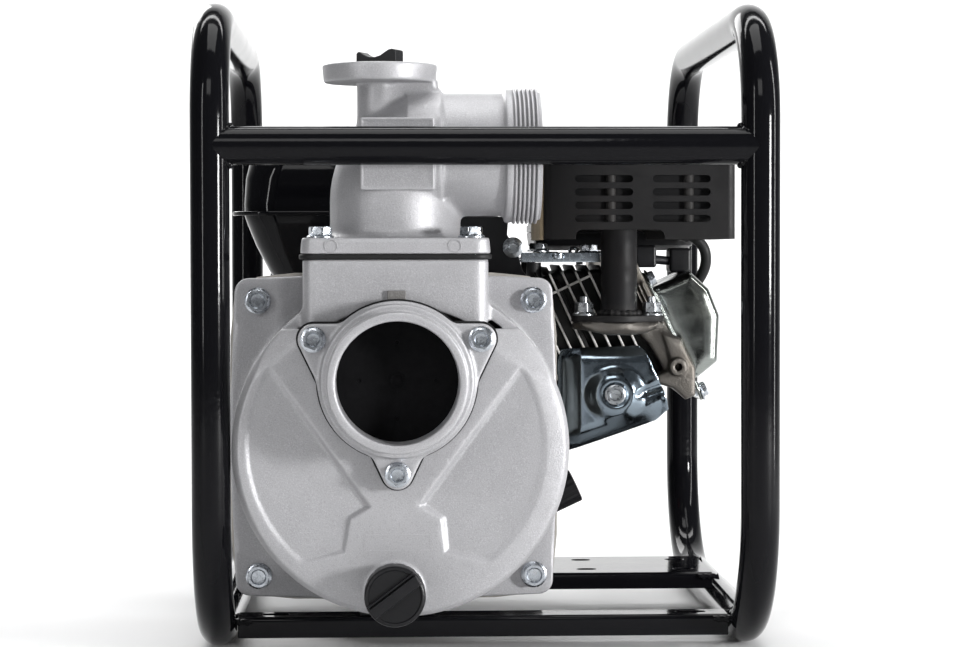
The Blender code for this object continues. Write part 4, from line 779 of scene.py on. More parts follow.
def thread_profile(radius, start, end, ridges, depth):
    """A closed profile of rounded ridges, as (radius, height) pairs."""
    pitch = (end - start) / ridges
    points = []
    for i in range(ridges):
        base = start + pitch * i
        for share, height in (
            (0.0, 0.0), (0.14, 0.1), (0.3, 0.88), (0.42, 1.0), (0.66, 1.0), (0.8, 0.85), (0.94, 0.1)
        ):
            points.append((radius - depth * (1 - height), base + pitch * share))
    points.append((radius - depth, end))
    return points + [(radius - depth - 0.002, end), (radius - depth - 0.002, start)]


def make_check_valve():
    """The rubber flap: a moulded disc with a hinge barrel, a weight behind, a rivet and four dimples."""
    centre = (SUCTION_X, 0.0, SUCTION_Z)
    disc = turned(
        [
            (0.0, -0.2183), (0.0052, -0.2183), (0.0056, -0.2187), (FLAP_R - 0.0006, -0.2188),
            (FLAP_R, -0.2182), (FLAP_R, -0.2152), (FLAP_R - 0.0006, -0.2147), (0.0, -0.2147)
        ],
        centre
    )
    top = box((-0.15, -0.23, 0.2219), (0.05, -0.2, 0.25))
    dimples = []
    for dx, dz in ((-0.0245, 0.0), (0.0245, 0.0), (0.0, 0.0245), (0.0, -0.0245)):
        at = (SUCTION_X + dx, -0.2181, SUCTION_Z + dz)
        dimples.append(rod(at, (at[0], -0.22, at[2]), 0.0013, 0.0019, 16))
    cut(disc, top, *dimples)
    barrel = rod(
        (SUCTION_X - 0.016, -0.2167, 0.2222), (SUCTION_X + 0.016, -0.2167, 0.2222), 0.0019, steps=24
    )
    stand_in("check_valve_flap", together(disc, barrel), look=FLAP_LOOK, smooth=30)
    weight = turned(
        [
            (0.0, -0.2106), (0.0185, -0.2106), (0.0196, -0.2112), (0.02, -0.212), (0.02, -0.2146),
            (0.0, -0.2146)
        ],
        (SUCTION_X, 0.0, SUCTION_Z - 0.004), steps=48
    )
    piece("flap_weight", weight, "cast_iron", "check_valve")
    rivet = turned(
        [(0.0, -0.2196), (0.0022, -0.2195), (0.0034, -0.219), (0.004, -0.2183), (0.0, -0.2183)], centre,
        steps=32
    )
    piece("flap_rivet", rivet, "machined_steel", "check_valve", look=FLAP_LOOK)


def make_elbow():
    g = Block((-0.1235, -0.2085, 0.2625), (0.0405, -0.0795, 0.3925), 0.00085)
    x, y, z = g.x, g.y, g.z
    bend, pipe_r, pipe_z = 0.03, 0.0408, OUTLET_Z + 0.0008
    cx, cz = ELBOW_X + bend, OUTLET_Z - bend
    yy = y - ELBOW_Y
    riser_r = np.hypot(x - ELBOW_X, yy)
    pipe_axis_r = np.hypot(yy, z - pipe_z)
    riser = both(riser_r - ELBOW_R, z - cz)
    quadrant = np.maximum(x - cx, cz - z)
    torus = both(np.hypot(np.hypot(x - cx, z - cz) - bend, yy) - ELBOW_R, quadrant)
    pipe = both(pipe_axis_r - pipe_r, slab(x, -0.05, 0.017))
    solid = either(either(riser, torus), pipe, 0.0045)
    collar = both(np.hypot(yy, z - OUTLET_Z) - THREAD_R, slab(x, 0.014, 0.02), 0.0018)
    core = both(np.hypot(yy, z - OUTLET_Z) - 0.0421, slab(x, 0.016, 0.0378), 0.0006)
    solid = either(either(solid, collar, 0.003), core)
    draft = np.clip((z - 0.2643) * 0.09, 0.0, 0.002)
    flange = round_rect_field(x, y, (-0.12, -0.205), (0.003, -0.083), 0.0105) + draft
    flange = both(flange, slab(z, 0.2643, 0.2748), 0.0016)
    solid = either(solid, flange, 0.0075)
    for bx, by in ELBOW_BOLTS:
        spot = both(np.hypot(x - bx, y - by) - 0.0098, slab(z, 0.2749, 0.295), 0.0006)
        solid = less(solid, spot, 0.0006)
    plate = both(
        round_rect_field(x, z, (-0.0812, 0.3059), (-0.033, 0.353), 0.0012), slab(y, -0.1834, -0.16),
        0.0008
    )
    solid = either(solid, plate, 0.001)
    solid = less(
        solid,
        both(
            round_rect_field(x, z, (-0.0796, 0.3076), (-0.0346, 0.3513), 0.0008), slab(y, -0.19, -0.183)
        ),
        0.0003
    )
    neck_r = np.hypot(x - FILLER_X, yy)
    neck = both(neck_r - 0.0152, slab(z, 0.335, 0.38))
    solid = either(solid, neck, 0.005)
    web = both(
        round_rect_field(x, y, (-0.062, ELBOW_Y - 0.013), (-0.03, ELBOW_Y + 0.013), 0.004),
        slab(z, 0.35, 0.379)
    )
    solid = either(solid, web, 0.004)
    disc = both(neck_r - 0.0384 + np.clip((0.39 - z) * 0.1, 0, 0.002), slab(z, 0.378, 0.39), 0.0016)
    solid = either(solid, disc, 0.0022)
    bore_r = 0.0375
    water = both(riser_r - bore_r, z - cz)
    water = either(water, both(np.hypot(np.hypot(x - cx, z - cz) - bend, yy) - bore_r, quadrant))
    water = either(water, both(np.hypot(yy, z - OUTLET_Z) - bore_r, -0.03 - x), 0.003)
    solid = less(solid, water, 0.0006)
    filler = both(neck_r - 0.0103, 0.34 - z)
    recess = both(neck_r - 0.0172, 0.385 - z)
    solid = less(solid, either(filler, recess), 0.0004)
    stand_in("discharge_elbow", g.mesh(solid), smooth=None)

    profile = thread_profile(THREAD_R + 0.0008, 0.019, 0.0362, 6, 0.0026)
    profile = profile[:-2] + [(THREAD_R - 0.002, 0.0379), (0.039, 0.0379), (0.039, 0.019)]
    ridges = turned(profile, (0.0, ELBOW_Y, OUTLET_Z), "X", 112, ring=True)
    piece("discharge_thread", ridges, "pump_paint")
    marks = []
    for mx in (-0.1, -0.0205):
        ring = [
            (mx + 0.0041 * math.cos(t), -0.205, 0.2694 + 0.0041 * math.sin(t))
            for t in np.linspace(0, math.tau, 33)[:-1]
        ]
        marks.append(tube(ring, 0.00022, closed=True, sides=6))
    piece("flange_marks", together(*marks), "pump_paint")

    gasket = prism(rounded_rect((-0.1208, -0.2052), (0.0038, -0.0822), 0.011), 0.2608, 0.2642, "XY")
    gasket = cut(gasket, rod((ELBOW_X, ELBOW_Y, 0.25), (ELBOW_X, ELBOW_Y, 0.27), 0.0385))
    stand_in("discharge_gasket", soften(gasket, 0.0011, 3, 50))


def make_filler_cap():
    seat = 0.385
    centre = (FILLER_X, ELBOW_Y, 0.0)
    seal = turned(
        [
            (0.016, seat + 0.0023), (0.0165, seat + 0.0018), (0.0165, seat + 0.0007),
            (0.016, seat + 0.0002)
        ] + [(0.0112, seat + 0.0002), (0.0112, seat + 0.0023)],
        centre, "Z", 48, ring=True
    )
    stand_in("filler_cap_seal", seal)
    cap = turned(
        [
            (0.0, 0.3912), (0.015, 0.3912), (0.016, 0.3908), (0.0166, 0.3898), (0.0166, seat + 0.0026)
        ] + [(0.0098, seat + 0.0026), (0.0098, 0.3728), (0.009, 0.372), (0.0, 0.372)],
        centre, "Z", 64
    )
    # The wing: two raised ends and a dished saddle between them.
    top = [(-0.0146, 0.3978), (-0.0132, 0.399), (-0.0118, 0.3987), (-0.009, 0.3968), (-0.005, 0.3953)]
    top += [
        (-0.001, 0.3951), (0.003, 0.3962), (0.0062, 0.3982), (0.009, 0.3998), (0.0115, 0.4003),
        (0.014, 0.3996)
    ]
    wing = prism([(0.0146, 0.3988), (0.0146, 0.3905), (-0.0146, 0.3905)] + top, -0.0062, 0.0062)
    soften(wing, 0.0008, 3, 40)
    moved(wing, Matrix.Translation((FILLER_X, ELBOW_Y, 0.0)) @ Matrix.Rotation(math.radians(-26), 4, "Z"))
    stand_in("filler_cap", together(cap, wing))
    profile = thread_profile(0.0101, 0.3735, 0.3865, 6, 0.0007)
    piece(
        "filler_cap_thread", turned(profile, centre, "Z", 48, ring=True), "black_plastic",
        "filler_closure"
    )


def make_drain_plug():
    centre = (DRAIN_X, 0.0, DRAIN_Z)
    seal = turned(
        [
            (0.017, -0.2163), (0.0175, -0.2168), (0.0175, -0.2183), (0.017, -0.2188), (0.0128, -0.2188),
            (0.0128, -0.2163)
        ],
        centre, steps=48, ring=True
    )
    stand_in("drain_plug_seal", seal)
    plug = turned(
        [
            (0.0, -0.197), (0.0112, -0.197), (0.0118, -0.1978), (0.0118, -0.2191), (0.0189, -0.2191),
            (0.0195, -0.2198), (0.0195, -0.235), (0.0189, -0.236), (0.0178, -0.2366), (0.017, -0.2366),
            (0.0164, -0.2358), (0.0, -0.2354)
        ],
        centre, steps=96, wobble=lambda a,
        h: -0.0004 * (math.cos(16 * a) > 0.55) if -0.2345 < h < -0.2195 else 0.0
    )
    grip = soften(box((-0.0186, -0.2405, -0.0036), (0.0186, -0.2345, 0.0036)), 0.0011, 3)
    ridge = soften(box((-0.0186, -0.2388, 0.0044), (0.0186, -0.2345, 0.0056)), 0.0004, 2)
    turn = Matrix.Translation(centre) @ Matrix.Rotation(math.radians(-37), 4, "Y")
    for shape in (grip, ridge):
        moved(shape, turn)
    stand_in("drain_plug", together(plug, grip, ridge))
    profile = thread_profile(0.0121, -0.215, -0.199, 6, 0.0007)
    piece(
        "drain_plug_thread", turned(profile, centre, "Y", 48, ring=True), "black_plastic", "drain_closure"
    )


# --- Fasteners --------------------------------------------------------------------------------------
def bolt_shape(head, direction, thread_r, length=0.0, washer=0.0):
    """A flanged hexagon bolt: sloped flange, chamfered hexagon and a dished head."""
    head, way = Vector(head), -Vector(direction).normalized()
    across = thread_r * 1.62
    height = thread_r * 1.45
    flange_r = thread_r + 0.0046
    skirt = turned(
        [
            (0.0, washer), (flange_r, washer), (flange_r, washer + 0.0009),
            (across * 1.05, washer + 0.0021), (0.0, washer + 0.0021)
        ],
        head, way, 40
    )
    base = washer + 0.001
    outer = across / math.cos(math.pi / 6)
    turn = rng.uniform(0, math.pi / 3)
    axis, side, other = axis_frame(way)

    def ring(radius_at, height_at):
        points = []
        for i in range(36):
            a = math.tau * i / 36
            flat = across / math.cos(((a + math.pi / 6) % (math.pi / 3)) - math.pi / 6)
            points.append((a, min(flat, radius_at), height_at))
        return [
            head + axis * h + side * (r * math.cos(a + turn)) + other * (r * math.sin(a + turn)) for a, r,
            h in points
        ]

    hexagon = loft(
        [
            ring(outer, base), ring(outer, base + height - 0.0008), ring(across * 1.02, base + height),
            ring(across * 0.78, base + height), ring(across * 0.66, base + height - 0.0011),
            ring(across * 0.3, base + height - 0.0013)
        ]
    )
    shapes = [skirt, hexagon]
    if length:
        shapes.append(rod(head, head - way * length, thread_r, steps=24))
    return together(*shapes)


def make_bolts():
    for i, (bx, bz) in enumerate(CASE_BOLTS, 1):
        stand_in(
            f"housing_bolt_{i}", bolt_shape((bx, -0.1264, bz), (0, 1, 0), 0.0042, 0.02), look=BOLT_ZINC
        )
    for i, (bx, bz) in enumerate(SUCTION_BOLTS, 1):
        stand_in(
            f"suction_bolt_{i}", bolt_shape((bx, -0.2221, bz), (0, 1, 0), 0.0036, 0.02), look=BOLT_ZINC
        )
    for i, (bx, by) in enumerate(ELBOW_BOLTS, 1):
        shape = bolt_shape((bx, by, 0.2748), (0, 0, -1), 0.0042, 0.022)
        if i <= 2:
            stand_in(f"elbow_bolt_{i}", shape, look=BOLT_ZINC)
        else:
            piece(f"elbow_bolt_{i}b", shape, "zinc_plate", look=BOLT_ZINC)


# --- Frame ------------------------------------------------------------------------------------------
def hoop_path(x, steps=20):
    bottom, top = TUBE_R, FRAME_H - TUBE_R
    low, high = HOOP_FOOT_BEND, HOOP_TOP_BEND
    corners = (
        arc((REAR_Y - high, top - high), high, 0, 90, steps)
        + arc((FRONT_Y + high, top - high), high, 90, 180, steps)
        + arc((FRONT_Y + low, bottom + low), low, 180, 270, steps)
        + arc((REAR_Y - low, bottom + low), low, 270, 360, steps)
    )
    return [(x, y, z) for y, z in corners]


def weld_bead(side, y, z):
    """A rippled bead on the saddle line where a bar meets a hoop's upright."""
    points = []
    steps = 96
    for i in range(steps):
        t = math.tau * i / steps
        points.append(
            (
                side * (HOOP_X - TUBE_R * abs(math.sin(t)) - 0.0004), y + 0.0098 * math.cos(t),
                z + TUBE_R * math.sin(t)
            )
        )
    return tube(
        points, lambda s: 0.0019 + 0.00045 * math.sin(s * 150.0) + 0.0003 * math.sin(s * 37.0), True, 10
    )


def make_frame():
    for node, x in (("left_hoop", -HOOP_X), ("right_hoop", HOOP_X)):
        stand_in(node, tube(hoop_path(x), TUBE_R, closed=True, sides=40), smooth=None)
    for node, y in (("front_upper_bar", FRONT_Y), ("rear_upper_bar", REAR_Y)):
        stand_in(node, rod((-HOOP_X, y, BAR_Z), (HOOP_X, y, BAR_Z), TUBE_R - 0.0002, steps=40))
        beads = together(*[weld_bead(side, y, BAR_Z) for side in (-1, 1)])
        piece(f"{node}_welds", beads, "frame_paint")
    for node, x_reach, y_range, z_range, slots in (
        ("front_base_rail", 0.164, (-0.147, -0.119), (0.0085, 0.0225), (-0.14, 0.14)),
        ("engine_base_plate", 0.169, (-0.023, 0.078), (0.0234, 0.035), ())
    ):
        outline = rounded_rect((y_range[0], z_range[0] - 0.01), (y_range[1], z_range[1]), 0.0032, 5)
        room = rounded_rect(
            (y_range[0] + 0.0022, z_range[0] - 0.02), (y_range[1] - 0.0022, z_range[1] - 0.0022), 0.0015,
            4
        )
        shell = prism(outline, -x_reach, x_reach, "YZ")
        cutters = [
            prism(room, -0.2, 0.2, "YZ"),
            box((-0.2, y_range[0] - 0.01, z_range[0] - 0.03), (0.2, y_range[1] + 0.01, z_range[0]))
        ]
        middle = sum(y_range) / 2
        cutters += [prism(stadium((x, middle), 0.02, 0.009), 0.0, 0.04, "XY") for x in slots]
        if not slots:
            cutters += [
                prism(stadium((x, y), 0.014, 0.009), 0.0, 0.05, "XY")
                for x in (0.08, 0.15)
                for y in (0.0, 0.055)
            ]
        stand_in(node, soften(cut(shell, *cutters), 0.0004, 1, 40))
        ends = []
        for side in (-1, 1):
            for y in y_range:
                start = Vector((side * (x_reach - 0.01), y, z_range[1] - 0.003))
                points = [
                    start + Vector((side * 0.0016 * i, 0.0, 0.0004 * math.sin(i * 2.1)))
                    for i in range(10)
                ]
                ends.append(tube(points, lambda s: 0.0021 + 0.0004 * math.sin(s * 40.0), sides=10))
        piece(f"{node}_welds", together(*ends), "frame_paint")
    pad = soften(box((-0.083, -0.1445, 0.0228), (-0.033, -0.1215, 0.0297)), 0.0015, 3)
    stand_in("pump_foot_pad", pad)


# --- Engine -----------------------------------------------------------------------------------------
def cylinder_axes(g):
    """Coordinates along and across the tilted cylinder for a block."""
    dx, dz = g.x - AXIS_X, g.z - AXIS_Z
    return dx * ALONG.x + dz * ALONG.z, dx * ACROSS.x + dz * ACROSS.z


def local_box(along, across, y_range):
    return box((along[0], y_range[0], across[0]), (along[1], y_range[1], across[1]))


def tilted(obj):
    """Turns a shape made in cylinder coordinates, X along and Z across, into its place."""
    return moved(obj, TO_CYLINDER)


def make_fins():
    """The finned cylinder, in its own coordinates so that the bare rims of the fins follow the tilt."""
    front, back = FIN_MID_Y - FIN_HALF_Y, FIN_MID_Y + FIN_HALF_Y
    rims = []
    for i in range(12):
        start = 0.083 + 0.0086 * i
        high_c = min(0.058, (0.2555 - AXIS_Z - start * ALONG.z) / ACROSS.z)
        low_c = -0.05 if i < 7 else -0.055
        outline = rounded_rect((front, low_c), (back, high_c), 0.008, 5)
        rims.append(soften(prism(outline, start, start + 0.0016, "YZ"), 0.0004, 2))
    barrel = rod((0.06, FIN_MID_Y, 0.0), (0.15, FIN_MID_Y, 0.0), 0.044, steps=64)
    web = [(0.072, -0.046), (0.19, -0.046), (0.19, 0.034), (0.15, 0.052), (0.072, 0.054)]
    core = soften(prism(web, front + 0.011, back - 0.011), 0.004, 3)
    deck = prism(
        rounded_rect((front + 0.004, -0.046), (back - 0.004, 0.048), 0.008, 5), 0.144, 0.148, "YZ"
    )
    ribs = []
    for y in (front, back - 0.01):
        for c in (0.0395, -0.024):
            ribs.append(local_box((0.083, 0.17), (c - 0.0008, c + 0.0008), (y, y + 0.01)))
    fins = together(*rims, barrel, core, soften(deck, 0.001), *ribs)
    piece("cylinder_fins", fins, "dark_casting", look=FIN_LOOK)
    fins.matrix_world = TO_CYLINDER


def make_crankcase():
    g = Block((-0.15, -0.0575, 0.0335), (0.053, 0.0795, 0.208), 0.00145)
    x, y, z = g.x, g.y, g.z
    block = round_rect_field(x, z, (-0.125, 0.0353), (0.02, 0.205), 0.016)
    block = both(block, slab(y, -0.054, 0.052), 0.004)
    for rib_x in (-0.112, -0.03, 0.004):
        rib = both(
            round_rect_field(x, y, (rib_x - 0.0025, -0.056), (rib_x + 0.0025, 0.0545), 0.002),
            slab(z, 0.04, 0.2)
        )
        block = either(block, both(rib, block - 0.003), 0.004)
    solid = block
    for low_x, high_x in ((-0.146, -0.11), (0.008, 0.047)):
        foot = both(
            round_rect_field(x, y, (low_x, -0.022), (high_x, 0.076), 0.006), slab(z, 0.0353, 0.047), 0.003
        )
        solid = either(solid, foot, 0.006)
    along, across = cylinder_axes(g)
    radial = np.hypot(across, y - 0.003)
    solid = either(solid, both(radial - 0.0465, slab(along, 0.03, 0.08), 0.002), 0.005)
    boss = DIPSTICK_SEAT
    bx, bz = x - boss.x, z - boss.z
    boss_along = bx * ALONG.x + bz * ALONG.z
    boss_r = np.hypot(bx * ACROSS.x + bz * ACROSS.z, y - boss.y)
    solid = either(solid, both(boss_r - 0.012, slab(boss_along, -0.045, 0.0), 0.0015), 0.005)
    pocket = round_rect_field(x, z, (-0.116, 0.0453), (0.011, 0.195), 0.012)
    solid = less(solid, both(pocket, slab(y, -0.07, 0.043)), 0.001)
    solid = less(solid, both(radial - 0.035, slab(along, 0.04, 0.2)))
    solid = less(solid, both(boss_r - 0.0057, slab(boss_along, -0.06, 0.02)))
    for hx, hy in FOOT_BOLTS:
        solid = less(solid, both(np.hypot(x - hx, y - hy) - 0.0045, slab(z, 0.03, 0.06)), 0.0005)
    solid = less(solid, both(np.hypot(x - AXIS_X, z - AXIS_Z) - 0.0126, slab(y, 0.03, 0.07)))
    stand_in("crankcase", g.mesh(solid), smooth=None)
    posts = []
    for low, high, radius, end_radius in ((0.225, 0.2577, 0.006, 0.0052), (0.2, 0.23, 0.009, 0.0062)):
        posts += [rod((0.04, y, low), (0.04, y, high), radius, end_radius, 24) for y in (-0.035, 0.04)]
    piece("control_posts", together(*posts), "dark_casting")
    bolts = [bolt_shape((hx, hy, 0.047), (0, 0, -1), 0.004, 0.011) for hx, hy in FOOT_BOLTS]
    piece("engine_foot_bolts", together(*bolts), "zinc_plate", look=BOLT_ZINC)

    # Side cover: a domed plate with a bolted rim.
    g = Block((-0.138, -0.0685, 0.049), (0.022, -0.053, 0.209), 0.0011)
    x, y, z = g.x, g.y, g.z
    cover_z, reach, power = 0.129, 0.076, 5.0
    rim = np.abs((x - AXIS_X) / reach) ** power + np.abs((z - cover_z) / reach) ** power
    rim = (rim ** (1 / power) - 1) * reach
    plate = both(rim, slab(y, -0.06, -0.0543), 0.0015)
    raised = both(rim + 0.011, slab(y, -0.0668, -0.0543), 0.003)
    cover = either(plate, raised, 0.004)
    for k in range(8):
        a = math.tau * (k + 0.5) / 8
        px, pz = AXIS_X + 0.07 * math.cos(a), cover_z + 0.07 * math.sin(a)
        cover = either(
            cover, both(np.hypot(x - px, z - pz) - 0.007, slab(y, -0.063, -0.0543), 0.001), 0.002
        )
    cover = less(cover, both(np.hypot(x - AXIS_X, z - AXIS_Z) - 0.0128, slab(y, -0.08, -0.04)))
    stand_in("crankcase_side_cover", g.mesh(cover), smooth=None)


def make_head():
    g = Block((0.038, -0.0925, 0.15), (0.183, 0.056, 0.28), 0.00115)
    x, y, z = g.x, g.y, g.z
    along, across = cylinder_axes(g)
    block = both(
        round_rect_field(across, y, (-0.06, -0.048), (0.04, 0.052), 0.008), slab(along, 0.19, 0.2037),
        0.0015
    )
    # The exhaust port, a fat elbow that comes out of the head and turns up into the flange.
    outline = [(0.069, 0.2163), (0.07, 0.2135), (0.079, 0.2095), (0.09, 0.2075), (0.106, 0.2075)]
    outline += [(0.117, 0.21), (0.123, 0.214), (0.124, 0.2163)]
    port = both(polygon_field(x, z, outline), slab(y, -0.088, -0.038), 0.005)
    ears = polygon_field(
        x, y,
        hull(
            [
                p for px,
                r in (
                    (0.0965, 0.0185), (0.0727, 0.0084), (0.1203, 0.0084)
                ) for p in circle((px, -0.072), r, 24)
            ]
        )
    )
    lip = both(ears, slab(z, 0.2115, 0.2163), 0.001)
    solid = either(either(block, port, 0.006), lip, 0.003)
    neck = [(0.108, 0.212), (0.124, 0.213), (0.144, 0.203), (0.14, 0.17), (0.133, 0.178), (0.12, 0.2)]
    solid = either(solid, both(polygon_field(x, z, neck), slab(y, -0.052, -0.04), 0.004), 0.004)
    # The front wall of the head beside the rocker cover, with its ribs, boss and foot.
    wall = [(0.129, 0.208), (0.142, 0.204), (0.153, 0.183), (0.153, 0.164), (0.146, 0.161)]
    wall += [(0.137, 0.169), (0.124, 0.173), (0.126, 0.179), (0.137, 0.183)]
    front = both(polygon_field(x, z, wall), slab(y, -0.056, -0.045), 0.003)
    solid = either(solid, front, 0.003)
    for k in range(3):
        rib_a = 0.1945 + 0.003 * k
        rib = both(slab(along, rib_a - 0.0006, rib_a + 0.0006), slab(across, -0.03, 0.02), 0.001)
        solid = either(solid, both(rib, slab(y, -0.052, -0.04), 0.001), 0.002)
    boss_r = np.hypot(x - 0.14, z - 0.1844)
    solid = either(solid, both(boss_r - 0.0063, slab(y, -0.064, -0.05), 0.001), 0.002)
    solid = less(solid, both(boss_r - 0.0026, slab(y, -0.08, -0.052)), 0.0004)
    bore_r = np.hypot(x - 0.096, y + 0.072)
    solid = less(solid, both(bore_r - 0.0105, slab(z, 0.211, 0.24)))
    solid = less(
        solid,
        both(slab(along, 0.19, 0.21), round_rect_field(across, y, (-0.048, -0.04), (0.036, 0.042), 0.006))
    )
    runner = both(np.hypot(x - 0.108, z - 0.225) - 0.015, slab(y, 0.03, 0.052), 0.002)
    solid = either(solid, runner, 0.003)
    solid = less(solid, both(np.hypot(x - 0.108, z - 0.225) - 0.01, slab(y, 0.02, 0.06)))
    stand_in("cylinder_head", g.mesh(solid), look=EXHAUST_LOOK, smooth=None)


def make_rocker_cover():
    g = Block((0.095, -0.049, 0.15), (0.1905, 0.055, 0.285), 0.00105)
    y = g.y
    along, across = cylinder_axes(g)
    profile = [(0.204, 0.0125), (0.2363, 0.0115), (0.2434, -0.0054), (0.2421, -0.026), (0.2269, -0.055)]
    profile += [(0.2109, -0.059), (0.204, -0.059)]
    dome = both(polygon_field(along, across, profile) + 0.0015, slab(y, -0.0385, 0.0445) , 0.009) - 0.0015
    flange = both(
        round_rect_field(across, y, (-0.075, -0.0465), (0.025, 0.0515), 0.01), slab(along, 0.204, 0.2062),
        0.0006
    )
    gasket = both(
        round_rect_field(across, y, (-0.074, -0.0455), (0.024, 0.0505), 0.01), slab(along, 0.203, 0.2042)
    )
    solid = either(either(dome, flange, 0.003), gasket)
    room = both(polygon_field(along, across, profile) + 0.002, slab(y, -0.035, 0.041), 0.01)
    solid = less(solid, both(room, -(along - 0.203)))
    solid = both(solid, 0.2036 - along)
    stand_in("rocker_cover", g.mesh(solid), smooth=None)
    bolts = []
    for c in (-0.068, 0.019):
        for y in (-0.039, 0.044):
            bolts.append(tilted(bolt_shape((0.2062, y, c), (-1, 0, 0), 0.0028, 0.004)))
    piece("rocker_cover_bolts", together(*bolts), "zinc_plate", look=BOLT_ZINC)


def nut(centre, axis, across, height):
    """A chamfered hexagon nut with its stud showing."""
    centre, axis = Vector(centre), Vector(axis).normalized()
    hexagon = rod(centre, centre + axis * height, across / 2 / math.cos(math.pi / 6), steps=6)
    soften(hexagon, 0.0008, 2, 20)
    return together(
        hexagon, soften(rod(centre, centre + axis * (height + 0.004), across * 0.26, steps=20), 0.0006, 2)
    )


def make_exhaust():
    low, high = (0.052, -0.088, 0.283), (0.168, 0.029, 0.342)
    body = soften(
        prism(rounded_rect((low[0], low[2]), (high[0], high[2]), 0.018, 8), low[1], high[1]), 0.006, 4, 50
    )
    seams = []
    for y in (low[1] + 0.012, high[1] - 0.012):
        seams.append(
            soften(
                prism(
                    rounded_rect(
                        (low[0] - 0.002, low[2] - 0.002), (high[0] + 0.002, high[2] + 0.002), 0.019, 8
                    ),
                    y - 0.0015, y + 0.0015
                ),
                0.0006
            )
        )
    stand_in("muffler", together(body, *seams))
    mx, my = PIPE_X, PIPE_Y
    pipe = tube([(mx + 0.0012, my, z) for z in np.linspace(0.2205, 0.286, 8)], 0.0126, sides=48)
    ring = [
        (mx + 0.0012 + 0.0136 * math.cos(t), my + 0.0136 * math.sin(t), 0.2225)
        for t in np.linspace(0, math.tau, 73)[:-1]
    ]
    bead = tube(
        ring, lambda s: 0.0022 + 0.0004 * math.sin(s * 130.0) + 0.0002 * math.sin(s * 47.0), True, 10
    )
    eyes = []
    for dx, r in ((0.0, 0.019), (-0.0238, 0.0088), (0.0238, 0.0088)):
        eyes += circle((mx + 0.0005 + dx, my), r, 28)
    outline = hull(eyes)
    flange = soften(prism(outline, 0.2165, 0.2212, "XY"), 0.001, 2)
    piece("exhaust_pipe", together(pipe, bead, flange), "muffler_paint")
    nuts = [
        nut((mx + 0.0005 + dx, my, 0.2225), (0, 0, 1), 0.0118, 0.0078) for dx in (-STUD_REACH, STUD_REACH)
    ]
    washers = []
    for dx in (-STUD_REACH, STUD_REACH):
        skirt = [(0.0, 0.2211), (0.008, 0.2211), (0.008, 0.2222), (0.0066, 0.2236), (0.0, 0.2236)]
        washers.append(turned(skirt, (mx + 0.0005 + dx, my, 0.0), "Z", 40))
    piece("exhaust_nuts", together(*nuts, *washers), "zinc_plate", look=GREY_ZINC)

    # The perforated outer cover: folded sheet with rounded corners and pressed slots.
    x, y, z = (0.044, 0.176), (-0.094, 0.035), (0.274, 0.348)
    outer = soften(box((x[0], y[0], z[0] - 0.012), (x[1], y[1], z[1])), 0.0055, 5)
    wall = 0.0015
    inner = soften(
        box((x[0] + wall, y[0] + wall, z[0] - 0.02), (x[1] - wall, y[1] - wall, z[1] - wall)), 0.0042, 4
    )
    below = box((0.0, -0.2, 0.2), (0.3, 0.2, z[0]))
    cutters = [inner, below]
    for sx in (0.085, 0.1385):
        for sz in SLOT_ROWS:
            for face in y:
                cutters.append(prism(stadium((sx, sz), 0.04, 0.005, 10), face - 0.01, face + 0.01))
    for sy in (-0.055, -0.005):
        for sz in SLOT_ROWS:
            cutters.append(prism(stadium((sy, sz), 0.034, 0.005, 10), x[1] - 0.01, x[1] + 0.01, "YZ"))
    cutters.append(prism(rounded_rect((0.0655, 0.25), (0.127, 0.2806), 0.005, 6), -0.11, 0.05))
    stand_in("muffler_cover", soften(cut(outer, *cutters), 0.0004, 2, 40))
    pad = soften(box((0.0412, -0.088, 0.2735), (0.0438, 0.02, 0.33)), 0.0006)
    piece("muffler_heat_pad", pad, "cast_aluminium", look=GASKET_LOOK)
    baffles = [rod((bx, -0.0892, 0.286), (bx, -0.0892, 0.318), 0.0035, steps=24) for bx in (0.09, 0.144)]
    piece("muffler_baffles", together(*baffles), "muffler_paint")


